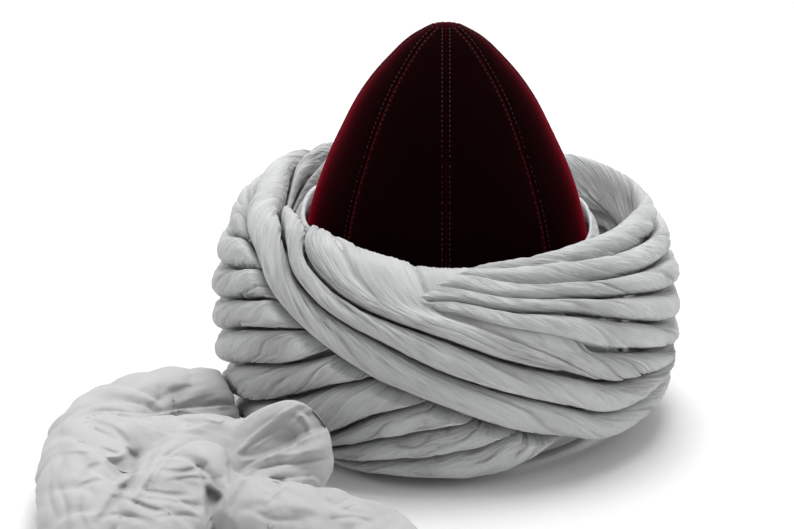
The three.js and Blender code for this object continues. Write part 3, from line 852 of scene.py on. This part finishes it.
def add_gore(number):
    """One gore of the cap: a wall of velvet, closed at its edges."""
    middle = (number + 0.5) * 360 / GORES
    half_angle = 180 / GORES
    share = (1 - np.linspace(1, 0, GORE_ROWS) ** TIP_CROWDING)[:, None]
    edge = np.linspace(-1, 1, GORE_COLUMNS)
    side = (np.sign(edge) * (1 - (1 - np.abs(edge)) ** SEAM_CROWDING))[None, :]
    azimuth = middle + side * half_angle
    angle = np.radians(azimuth)
    layers = []
    for inward in (0, CAP_WALL):
        radius, height = cap_wall(share, inward)
        plain = radius * mix(1, SEAM_DIP, side * side)
        distance = np.maximum(plain * np.radians(half_angle) * (1 - np.abs(side)), 0)
        dip = seam_shape(distance, height) + cap_dents(azimuth, share) if inward == 0 else 0
        shrunk = np.maximum(plain - dip * smoothstep(*TIP_FADE, plain), THINNEST_TIP)
        edge_shift = np.where(np.abs(edge) == 1, -edge * SEAM_GAP, 0)[None, :]
        slant = 0 if inward == 0 else SEAM_SLANT * smoothstep(*SLANT_FADE, shrunk)
        x = shrunk * np.sin(angle) + (edge_shift + slant) * np.cos(angle)
        y = -shrunk * np.cos(angle) + (edge_shift + slant) * np.sin(angle)
        layers.append(np.stack([x, y, height + 0 * x], -1))
    outer, inner = layers
    inner[..., 2] = np.maximum(inner[..., 2], 0)
    points = np.concatenate([outer, inner[:, ::-1]], axis=1)
    faces = grid_faces(GORE_ROWS, 2 * GORE_COLUMNS, False, True)
    columns = 2 * GORE_COLUMNS
    for column in range(GORE_COLUMNS - 1):
        faces.append([column, column + 1, columns - 2 - column, columns - 1 - column])
    faces = [face[::-1] for face in faces]
    name = f"cap_gore_{number + 1}"
    add_piece(f"{name}_velvet", points.reshape(-1, 3), faces, VELVET, "velvet", name)


for gore in range(GORES):
    add_gore(gore)


def stitch_rows():
    """Middles of all the stitches, row by row."""
    fine = np.linspace(0.0, 0.997, 1500)
    radius, height = cap_wall(fine, 0)
    radius = radius * SEAM_DIP
    length = np.concatenate([[0], np.cumsum(np.hypot(np.diff(radius), np.diff(height)))])
    places = (np.arange(int(length[-1] / STITCH_PITCH)) + 0.5) * STITCH_PITCH
    share, radius, height = (np.interp(places, length, values) for values in (fine, radius, height))
    for seam in range(GORES):
        angle = 2 * math.pi * seam / GORES
        for hand in (-1, 1):
            offset = hand * np.minimum(STITCH_OFFSET, radius * math.tan(math.pi / GORES) * 0.5)
            sunk = seam_shape(np.abs(offset), height) + cap_dents(math.degrees(angle), share)
            out = radius - sunk * smoothstep(*TIP_FADE, radius) + STITCH_LIFT
            x = out * math.sin(angle) + offset * math.cos(angle)
            y = -out * math.cos(angle) + offset * math.sin(angle)
            yield np.stack([x, y, height], -1)


def add_stitches():
    """Topstitching either side of each seam, every stitch a short piece of thread."""
    rings = len(STITCH_SHAPE)
    turned = 2 * math.pi * np.arange(STITCH_SIDES) / STITCH_SIDES
    way, size, sink = np.array(STITCH_SHAPE).T[:, None, :, None, None]
    stitches = []
    for row in stitch_rows():
        run = unit(np.gradient(row, axis=0))
        beside = unit(np.cross([0, 0, 1.0], row * [1, 1, 0]))
        upward = unit(np.cross(beside, run))
        centre, run, beside, upward = (vectors[:, None, None, :] for vectors in (row, run, beside, upward))
        round_it = np.cos(turned)[:, None] * beside + np.sin(turned)[:, None] * upward
        middle = centre + way * STITCH_LENGTH * run - sink * upward
        stitches.append(middle + size * STITCH_RADIUS * round_it)
    points = np.concatenate(stitches).reshape(-1, 3)
    one = [face[:1] + face[:0:-1] for face in grid_faces(rings, STITCH_SIDES, False, True)]
    one.append(list(reversed(range(STITCH_SIDES))))
    one.append([(rings - 1) * STITCH_SIDES + side for side in range(STITCH_SIDES)])
    starts = range(0, len(points), rings * STITCH_SIDES)
    faces = [[start + corner for corner in face] for start in starts for face in one]
    add_piece("cap_topstitching", points, faces, THREAD, "velvet")


add_stitches()

# Loose tail: a heap of gathered muslin, shaped as a field of distances and then meshed
TAIL_ROLLS = [  # x, y, height of the middle, half width, half height
    # from under the winding, round the far side and forward
    [
        (-0.838, -0.338, 0.149, 0.108, 0.122),
        (-1.014, -0.419, 0.169, 0.182, 0.162),
        (-1.169, -0.446, 0.176, 0.203, 0.166),
        (-1.297, -0.568, 0.176, 0.216, 0.169),
        (-1.372, -0.757, 0.176, 0.23, 0.172),
        (-1.392, -1.0, 0.176, 0.223, 0.172),
        (-1.365, -1.297, 0.169, 0.209, 0.166),
        (-1.324, -1.608, 0.149, 0.189, 0.149),
        (-1.304, -1.784, 0.115, 0.142, 0.115),
    ],
    # across the top from the far side towards the winding
    [
        (-1.324, -0.986, 0.189, 0.162, 0.135),
        (-1.135, -1.014, 0.209, 0.203, 0.145),
        (-0.932, -1.0, 0.209, 0.196, 0.145),
        (-0.757, -1.014, 0.203, 0.149, 0.135),
    ],
    # from there forward
    [
        (-0.865, -1.014, 0.176, 0.162, 0.149),
        (-0.986, -1.189, 0.176, 0.203, 0.166),
        (-1.068, -1.432, 0.169, 0.216, 0.162),
        (-1.101, -1.662, 0.142, 0.203, 0.142),
        (-1.115, -1.811, 0.108, 0.149, 0.108),
    ],
    # the knob folded over at its near side
    [
        (-0.865, -1.054, 0.203, 0.095, 0.101),
        (-0.905, -1.128, 0.196, 0.128, 0.128),
        (-0.926, -1.243, 0.169, 0.122, 0.122),
        (-0.919, -1.338, 0.135, 0.074, 0.088),
    ],
    # the loop standing against the winding
    [
        (-0.838, -1.054, 0.189, 0.108, 0.108),
        (-0.723, -1.027, 0.297, 0.095, 0.095),
        (-0.622, -1.02, 0.351, 0.081, 0.088),
        (-0.541, -1.041, 0.297, 0.081, 0.088),
        (-0.514, -1.095, 0.209, 0.081, 0.088),
        (-0.581, -1.162, 0.135, 0.095, 0.095),
        (-0.73, -1.203, 0.122, 0.115, 0.108),
    ],
    # the inside of the loop
    [
        (-0.797, -1.122, 0.162, 0.101, 0.122),
        (-0.703, -1.108, 0.203, 0.088, 0.115),
        (-0.622, -1.101, 0.209, 0.068, 0.095),
    ],
    # the near mass, its free end past the loop
    [
        (-0.905, -1.297, 0.122, 0.122, 0.115),
        (-0.689, -1.405, 0.128, 0.182, 0.128),
        (-0.459, -1.5, 0.128, 0.196, 0.128),
        (-0.284, -1.608, 0.115, 0.189, 0.115),
        (-0.162, -1.757, 0.088, 0.142, 0.088),
    ],
]
ROLL_FOLDS = [  # folds round the roll, depth of a fold in millimetres, turns of twist
    (5, 5.5, 0.35),
    (4, 5.0, -0.3),
    (5, 5.0, 0.3),
    (4, 3.5, 0.2),
    (3, 3.0, 0.1),
    (2, 2.0, 0.1),
    (5, 5.0, -0.4),
]
TAIL_LOW = (-250, -282, -4)  # corners of the box that the heap is meshed in
TAIL_HIGH = (8, -20, 74)
TAIL_BLEND = 3.0
TAIL_SEED = 900
TAIL_LIFT = 0.3
TAIL_RELAX = 4  # rounds of smoothing
TAIL_WRAP_GIRTH = 0.68  # the tail stays clear of the winding up to this share of girth
TAIL_SHADE_DEPTH = 8  # press depth at which the painted shade is full
TAIL_SHADE_LIMIT = 0.6
STEP_DEPTHS = (-0.4, 0.6)  # shares of a step's depth at its upper and its lower side
STEP_FADE = 6  # widths over which a step dies away
PLEAT_SEED = 1200
PLEAT_DEPTH = 0.9
SMALL_PLEAT_DEPTH = 0.4
FAR = 1e9
EMPTY = 60.0  # distance in the field where there is no roll


def roll_line(rows):
    """Finely spaced middles and half sizes of a roll in millimetres, and its three directions."""
    numbered = [(number, *row) for number, row in enumerate(rows)]
    along = np.linspace(0, len(rows) - 1, 30 * (len(rows) - 1) + 1)
    columns = [smooth_curve(numbered, column)(along) * WRAP_RADIUS for column in range(1, 6)]
    middle = np.stack(columns[:3], -1)
    run = unit(np.gradient(middle, axis=0))
    beside = unit(np.cross([0, 0, 1.0], run))
    return middle, columns[3], columns[4], run, beside, np.cross(run, beside)


def soft_folds(around, share, count, seed):
    """Rounded lengthwise folds of loose cloth: 0 on their backs, 1 in the valleys."""
    drift = 0.35 * ring_noise(around, share, 2, 4, seed) + 0.15 * ring_noise(around, share, 5, 9, seed + 1)
    ridge = np.abs(np.sin(math.pi * (count * around + count * drift)))
    finer = np.abs(np.sin(math.pi * ((2 * count + 1) * around + 1.5 * count * drift)))
    strength = 0.5 + 0.5 * ring_noise(around, share, 2, 5, seed + 2)
    return (1 - ridge) ** 1.5 * strength + 0.3 * (1 - finer) ** 1.5 * (1 - strength)


def roll_places(places, number):
    """Distance of places out of a roll in millimetres, and their shares of the way round and along it."""
    middle, half_width, half_height, run, beside, upward = roll_line(TAIL_ROLLS[number])
    nearest = np.zeros(len(places), int)
    for block in np.array_split(np.arange(len(places)), len(places) // 20000 + 1):
        gaps = ((places[block, None, :] - middle[None, :, :]) ** 2).sum(-1)
        nearest[block] = gaps.argmin(1)
    away = places - middle[nearest]
    lengthwise = (away * run[nearest]).sum(-1)
    sideways = (away * beside[nearest]).sum(-1) / half_width[nearest]
    above = (away * upward[nearest]).sum(-1) / half_height[nearest]
    at_end = (nearest == 0) | (nearest == len(middle) - 1)
    beyond = np.where(at_end, lengthwise / half_height[nearest], 0)
    reach = np.sqrt(sideways**2 + above**2 + beyond**2)
    share = nearest / (len(middle) - 1) * 0.999
    around = (np.arctan2(above, sideways) / (2 * math.pi) + ROLL_FOLDS[number][2] * share) % 1
    return (reach - 1) * np.minimum(half_width, half_height)[nearest], around, share


def roll_field(places, number):
    """Distance in millimetres from a roll's cloth, below 0 inside it, near the roll only."""
    out, around, share = roll_places(places, number)
    count, depth = ROLL_FOLDS[number][:2]
    return out + depth * soft_folds(around, share, count, TAIL_SEED + 30 * number)


def pleats(points):
    """Depth in millimetres of the small folds that run along the rolls."""
    best = np.full(len(points), FAR)
    depth = np.zeros(len(points))
    for number in range(len(TAIL_ROLLS)):
        out, around, share = roll_places(points, number)
        seed = PLEAT_SEED + 10 * number
        ridge = np.abs(ring_noise(around, share, 9, 2, seed))
        small = np.abs(ring_noise(around, share, 17, 4, seed + 1))
        strength = smoothstep(-0.3, 0.5, ring_noise(around, share, 3, 3, seed + 2))
        here = PLEAT_DEPTH * strength * np.maximum(1 - ridge / 0.4, 0)
        here += SMALL_PLEAT_DEPTH * (1 - strength) * np.maximum(1 - small / 0.5, 0)
        depth = np.where(out < best, here, depth)
        best = np.minimum(best, out)
    return depth


def smooth_union(first, second):
    """The smaller of two distances, rounded where they meet."""
    share = np.clip(0.5 + 0.5 * (second - first) / TAIL_BLEND, 0, 1)
    return mix(second, first, share) - TAIL_BLEND * share * (1 - share)


def surface_net(values, origin, cell):
    """Points and quads of the surface where a grid of values passes through 0."""
    inside = values < 0
    corners = np.array([(x, y, z) for x in (0, 1) for y in (0, 1) for z in (0, 1)])
    halves = (slice(0, -1), slice(1, None))
    stacked = np.stack([inside[halves[x], halves[y], halves[z]] for x, y, z in corners])
    crossed_cells = stacked.any(0) & ~stacked.all(0)
    number = np.full(crossed_cells.shape, -1)
    number[crossed_cells] = np.arange(crossed_cells.sum())
    base = np.argwhere(crossed_cells)
    total = np.zeros((len(base), 3))
    weight = np.zeros(len(base))
    edges = [(start, end) for start in corners for end in corners if sorted(end - start) == [0, 0, 1]]
    for start, end in edges:
        first = values[tuple((base + start).T)]
        second = values[tuple((base + end).T)]
        crossed = (first < 0) != (second < 0)
        share = np.where(crossed, first / np.where(crossed, first - second, 1), 0)
        total += (start + share[:, None] * (end - start)) * crossed[:, None]
        weight += crossed
    points = origin + (base + total / weight[:, None]) * cell
    faces = []
    axes = np.eye(3, dtype=int)
    for axis in range(3):
        ahead, right, up = axes[axis], axes[(axis + 1) % 3], axes[(axis + 2) % 3]
        # The grid's edges along this axis, without those on its outside
        spot = np.argwhere(np.ones(np.array(values.shape) - 2 + ahead, bool)) + 1 - ahead
        first = inside[tuple(spot.T)]
        changes = first != inside[tuple((spot + ahead).T)]
        spot, first = spot[changes], first[changes]
        shifts = (0 * right, right, right + up, up)
        quads = np.stack([number[tuple((spot - shift).T)] for shift in shifts], -1)
        quads[~first] = quads[~first][:, ::-1]
        faces.append(quads[(quads >= 0).all(1)])
    return points, np.concatenate(faces).tolist()


def tail_field(places):
    """The whole heap: the rolls together, kept clear of the winding and of the table."""
    field = np.full(len(places), EMPTY)
    for number, rows in enumerate(TAIL_ROLLS):
        middle, half_width, half_height = roll_line(rows)[:3]
        margin = half_width.max() + 12
        near = ((places > middle.min(0) - margin) & (places < middle.max(0) + margin)).all(1)
        field[near] = smooth_union(field[near], roll_field(places[near], number))
    radius = np.hypot(places[:, 0], places[:, 1])
    girth = np.linspace(0, TAIL_WRAP_GIRTH, 60)
    heights = outer_height_at(girth) * WRAP_HEIGHT
    winding = np.interp(places[:, 2], heights, outer_radius_at(girth) * WRAP_RADIUS) + TAIL_CLEAR
    field = np.maximum(field, winding - radius)
    return np.maximum(field, TAIL_LIFT - places[:, 2])


# Folds of the tail where the photograph shows them: each one's width in pixels and its depth in
# millimetres, below 0 where it stands out, then the columns and rows of the photograph's pixels along it
VALLEYS = [
    (9, -9, (194, 450), (212, 460), (217, 479)),
    (9, 4, (159, 483), (182, 487), (202, 489)),
    (7, -5, (219, 417), (184, 430), (164, 452), (139, 489), (117, 529)),
    (9, -3, (92, 422), (75, 445), (67, 474)),
    (6, -2, (134, 385), (169, 381), (204, 385)),
    (9, -3, (254, 502), (279, 504), (319, 509), (353, 519)),
    (6, -4, (279, 470), (304, 452), (326, 445)),
    (2.6, 1.6, (179, 472), (194, 470)),
    (3, 2, (115, 487), (134, 489)),
    (2.5, -2, (62, 452), (80, 450), (95, 452)),
    (3, 2.5, (60, 489), (67, 509), (67, 529)),
    (3.2, 2, (82, 494), (80, 512), (87, 529)),
    (3.2, 1.6, (358, 499), (378, 509), (388, 522)),
    (3.4, 1.8, (147, 412), (162, 397), (184, 388), (209, 384)),
    (2.1, 2.4, (204, 405), (219, 402), (234, 404)),
    (2.9, 1.3, (179, 407), (199, 400), (219, 394)),
    (2.9, 2.8, (90, 420), (112, 427), (126, 440), (131, 447)),
    (2.1, 2, (92, 428), (105, 435), (115, 442)),
    (2, 2.4, (102, 448), (112, 452), (122, 453)),
    (1.4, -2, (97, 432), (110, 438), (118, 445)),
    (1.5, -2.5, (105, 456), (115, 457), (126, 451)),
    (3.1, 2.4, (105, 463), (90, 468), (77, 482)),
    (2.6, 2.4, (105, 480), (90, 482), (77, 487)),
    (4, 5, (137, 453), (131, 477), (115, 499), (97, 522)),
    (5, -3, (159, 452), (147, 474), (130, 499), (117, 522)),
    (3.5, 2, (169, 412), (184, 420), (209, 427), (227, 432)),
    (3.6, 1.6, (137, 415), (154, 420), (169, 427)),
    (2.9, 3.2, (159, 470), (179, 471), (204, 466)),
    (2.3, 2.4, (169, 481), (189, 477), (208, 479)),
    (2.6, 3.2, (144, 489), (164, 494), (189, 494)),
    (2.3, 2.1, (139, 496), (179, 502), (204, 506)),
    (2.6, 2.9, (112, 497), (130, 500), (154, 509), (172, 512)),
    (2.6, 2.4, (100, 517), (120, 514), (144, 519)),
    (2.3, 2.4, (159, 517), (184, 514), (202, 519)),
    (2.3, 2, (204, 487), (202, 474), (204, 465)),
    (3, 2.5, (52, 474), (50, 494), (55, 517)),
    (4, 2.5, (75, 445), (62, 465), (57, 487)),
    (1.3, -2.2, (289, 428), (300, 415), (307, 423), (311, 433)),
    (2.4, -1.5, (249, 450), (269, 437), (289, 427)),
    (2, 2.4, (241, 485), (251, 474), (269, 466), (299, 462), (329, 459)),
    (2.9, 2.4, (244, 479), (234, 499), (227, 509)),
    (2.1, 2.1, (291, 484), (279, 494), (266, 506)),
    (2.9, 1.9, (316, 487), (324, 499), (343, 509), (368, 513)),
    (2.3, 1.8, (331, 519), (351, 517), (373, 522)),
    (3.1, 1.8, (249, 509), (274, 519), (299, 519)),
    (2.4, -1.2, (279, 456), (301, 452), (324, 450)),
    (2.4, -1.8, (189, 412), (204, 417), (227, 423)),
]
# Edges of cloth that lies over other cloth: the side to the right of the way along them is lower
STEPS = [
    (1.6, 6, (249, 402), (236, 405), (209, 407), (184, 409), (154, 414), (134, 413), (105, 412), (82, 417)),
    (1.8, 8, (229, 496), (228, 474), (227, 456), (219, 445), (202, 440), (184, 445), (169, 456),
     (157, 470), (147, 487)),
    (1.3, 3, (299, 402), (281, 412), (269, 422), (254, 433), (241, 445), (229, 456)),
    (1.3, 5.5, (332, 429), (309, 436), (289, 447), (266, 457), (249, 465), (237, 476)),
    (1.4, 5, (319, 482), (311, 477), (286, 479), (269, 478)),
]
# Hollows, by their outlines
HOLLOWS = [
    (5, 5, (127, 447), (137, 453), (139, 457), (130, 470), (117, 479), (105, 463), (112, 458), (125, 455)),
    (4.5, 9, (205, 487), (215, 489), (222, 497), (215, 510), (210, 522), (205, 510)),
    (3.5, 3.2, (238, 454), (255, 438), (275, 421), (290, 410), (301, 405), (314, 408), (325, 418),
     (329, 427), (309, 433), (289, 444), (266, 455), (249, 459)),
    (4, 4, (305, 413), (316, 410), (325, 418), (329, 427), (314, 432), (311, 426)),
    (2.5, 5, (269, 477), (286, 479), (279, 486)),
]


def seen_pixels(points):
    """Columns and rows of the photograph that points in millimetres fall on."""
    cosine = math.cos(math.radians(CAMERA_PITCH))
    sine = math.sin(math.radians(CAMERA_PITCH))
    x, y, z = (points - np.array([0, -CAMERA_DISTANCE, CAMERA_HEIGHT])).T
    ahead = y * cosine - z * sine
    column = AXIS_PIXEL + FOCAL_PIXELS * x / ahead
    row = IMAGE_HEIGHT / 2 - FOCAL_PIXELS * (z * cosine + y * sine) / ahead
    return np.stack([column, row], -1)


def rounded(line, closed=False):
    """A smooth line through a few pixels."""
    line = np.array(line, float)
    if closed:
        line = np.concatenate([line, line[:1]])
    ends = (line[-2:-1], line[1:2]) if closed else (line[:1], line[-1:])
    control = np.concatenate([ends[0], line, ends[1]])
    share = np.linspace(0, 1, 5)[:-1, None]
    spans = []
    for number in range(len(line) - 1):
        a, b, c, d = control[number : number + 4]
        spans.append(
            b
            + 0.5 * share * (c - a)
            + share**2 * (a - 2.5 * b + 2 * c - 0.5 * d)
            + share**3 * (1.5 * b - 0.5 * a - 1.5 * c + 0.5 * d)
        )
    return np.concatenate([*spans, line[-1:]])


def line_distance(pixels, line):
    """Distance from a line of pixels, below 0 on its left, and the share of the way along it."""
    best = np.full(len(pixels), FAR)
    signed = np.full(len(pixels), FAR)
    along = np.zeros(len(pixels))
    lengths = np.linalg.norm(np.diff(line, axis=0), axis=1)
    before = np.concatenate([[0], np.cumsum(lengths)])
    for number, (start, end) in enumerate(zip(line[:-1], line[1:])):
        run = end - start
        share = np.clip(((pixels - start) @ run) / max(run @ run, 1e-9), 0, 1)
        away = pixels - start - share[:, None] * run
        distance = np.linalg.norm(away, axis=1)
        nearer = distance < best
        best = np.where(nearer, distance, best)
        side = np.sign(run[0] * away[:, 1] - run[1] * away[:, 0])
        signed = np.where(nearer, side * distance, signed)
        along = np.where(nearer, (before[number] + share * lengths[number]) / before[-1], along)
    return signed, along


def drawn(pixels, table, margin, closed=False):
    """Each row of a table of drawn lines: the pixels near it, their distance and way along it."""
    for width, depth, *corners in table:
        line = rounded(corners, closed)
        low, high = line.min(0) - margin * width, line.max(0) + margin * width
        near = ((pixels > low) & (pixels < high)).all(1)
        signed, along = line_distance(pixels[near], line)
        if closed:
            signed = inside_outline(pixels[near], line) * np.abs(signed)
        yield near, signed / width, along, depth


def end_fade(along, margin, power):
    """1 along a drawn line, which falls off at its ends."""
    return np.sin(math.pi * np.clip(along, margin, 1 - margin)) ** power


def pressed(pixels):
    """How far the drawn folds press the cloth away from the viewer, in millimetres."""
    total = np.zeros(len(pixels))
    for near, across, along, depth in drawn(pixels, VALLEYS, 3):
        total[near] += depth * end_fade(along, 0.04, 0.5) * np.exp(-(across**2))
    for near, across, along, depth in drawn(pixels, STEPS, 20):
        upper = STEP_DEPTHS[0] * np.exp(-np.maximum(-across, 0) / STEP_FADE)
        lower = STEP_DEPTHS[1] * np.exp(-np.maximum(across, 0) / STEP_FADE)
        step = mix(upper, lower, smoothstep(-0.5, 0.5, across))
        total[near] += depth * end_fade(along, 0.03, 0.4) * step
    for near, inwards, _, depth in drawn(pixels, HOLLOWS, 3, closed=True):
        total[near] += depth * smoothstep(-1 / 3, 1, inwards)
    return total


def inside_outline(pixels, outline):
    """1 for pixels inside an outline and -1 for those outside it."""
    crossings = np.zeros(len(pixels), int)
    for (x0, y0), (x1, y1) in zip(outline[:-1], outline[1:]):
        spans = (y0 > pixels[:, 1]) != (y1 > pixels[:, 1])
        at = x0 + (pixels[:, 1] - y0) * (x1 - x0) / (y1 - y0 if y1 != y0 else 1e-9)
        crossings += spans & (pixels[:, 0] < at)
    return np.where(crossings % 2, 1, -1)


def finer_mesh(points, faces):
    """The mesh relaxed and split once, by modifiers that are applied here."""
    rough = bpy.data.meshes.new("tail_rough")
    rough.from_pydata(points.tolist(), [], faces)
    holder = linked("tail_rough", rough)
    holder.modifiers.new("relax", "SMOOTH").iterations = TAIL_RELAX
    holder.modifiers.new("finer", "SUBSURF").levels = 1
    graph = bpy.context.evaluated_depsgraph_get()
    finer = bpy.data.meshes.new_from_object(holder.evaluated_get(graph))
    bpy.data.objects.remove(holder)
    return finer


def vertex_values(mesh, name):
    """Places or normals of a mesh's vertices."""
    values = np.zeros(3 * len(mesh.vertices))
    mesh.vertices.foreach_get(name, values)
    return values.reshape(-1, 3)


def add_tail():
    """The heap meshed, then its folds pressed in: the drawn ones along the sight lines, and pleats. Its
    folds get painted shade, darker the deeper they are pressed in.
    """
    low = np.array(TAIL_LOW, float)
    steps = np.ceil((TAIL_HIGH - low) / TAIL_CELL).astype(int)
    axes = [low[axis] + TAIL_CELL * np.arange(steps[axis]) for axis in range(3)]
    places = np.stack(np.meshgrid(*axes, indexing="ij"), -1).reshape(-1, 3)
    finer = finer_mesh(*surface_net(tail_field(places).reshape(steps), low, TAIL_CELL))
    points = vertex_values(finer, "co")
    normals = vertex_values(finer, "normal")
    faces = [list(polygon.vertices) for polygon in finer.polygons]
    sight = unit(points - np.array([0, -CAMERA_DISTANCE, CAMERA_HEIGHT]))
    facing = smoothstep(-0.1, 0.35, -(normals * sight).sum(-1))
    press = pressed(seen_pixels(points)) * facing
    small = pleats(points)
    points = points + sight * press[:, None] - normals * small[:, None]
    points[:, 2] = np.maximum(points[:, 2], TAIL_LIFT)
    piece = add_piece("loose_tail_cloth", points, faces, LOOSE_MUSLIN, "muslin", "loose_tail")
    set_attribute(piece, "strand", points)
    # Painted shade in the pressed-in folds, hollows and pleats, darker the deeper they are
    shade = np.clip(press / TAIL_SHADE_DEPTH, 0, TAIL_SHADE_LIMIT) + small / TAIL_SHADE_DEPTH
    set_attribute(piece, "crease_shade", shade)


add_tail()

# Stage, in metres
FLOOR_REACH = 30
SKY_STRENGTH = 0.42
LIGHTS = [  # name, place, target, size, watts
    ("overhead", (0.05, 0.15, 1.5), (0, 0, 0.05), 0.9, 17),
    ("right_fill", (1.4, -0.3, 0.8), (0, 0, 0.1), 0.8, 3),
    ("left_fill", (-1.4, -0.1, 0.8), (0, 0, 0.1), 0.8, 3.5),
    ("far_floor", (0, 3.4, 2.2), (0, 3.3, 0), 2.5, 70),
]


def add_floor():
    mesh = bpy.data.meshes.new("floor")
    corners = [(x * FLOOR_REACH, y * FLOOR_REACH, 0) for x, y in ((-1, -1), (1, -1), (1, 1), (-1, 1))]
    mesh.from_pydata(corners, [], [(0, 1, 2, 3)])
    floor = linked("floor", mesh)
    nodes = Nodes("pale_floor")
    nodes.set(Base_Color=(0.9, 0.9, 0.9, 1), Roughness=0.9, Specular_IOR_Level=0.1)
    mesh.materials.append(nodes.material)


def add_sky():
    """A little white light from all round."""
    world = bpy.data.worlds.new("world")
    world.use_nodes = True
    background = world.node_tree.nodes["Background"]
    background.inputs["Color"].default_value = (1, 1, 1, 1)
    background.inputs["Strength"].default_value = SKY_STRENGTH
    bpy.context.scene.world = world
    bpy.context.scene.view_settings.view_transform = "Standard"


def add_light(name, place, target, size, watts):
    """A square lamp that faces its target."""
    data = bpy.data.lights.new(name, "AREA")
    data.shape = "SQUARE"
    data.size = size
    data.energy = watts
    light = linked(name, data)
    light.location = place
    x, y, z = np.array(place) - np.array(target)
    light.rotation_euler = (math.atan2(math.hypot(x, y), z), 0, math.atan2(y, x) + math.pi / 2)


add_floor()
add_sky()
for lamp in LIGHTS:
    add_light(*lamp)
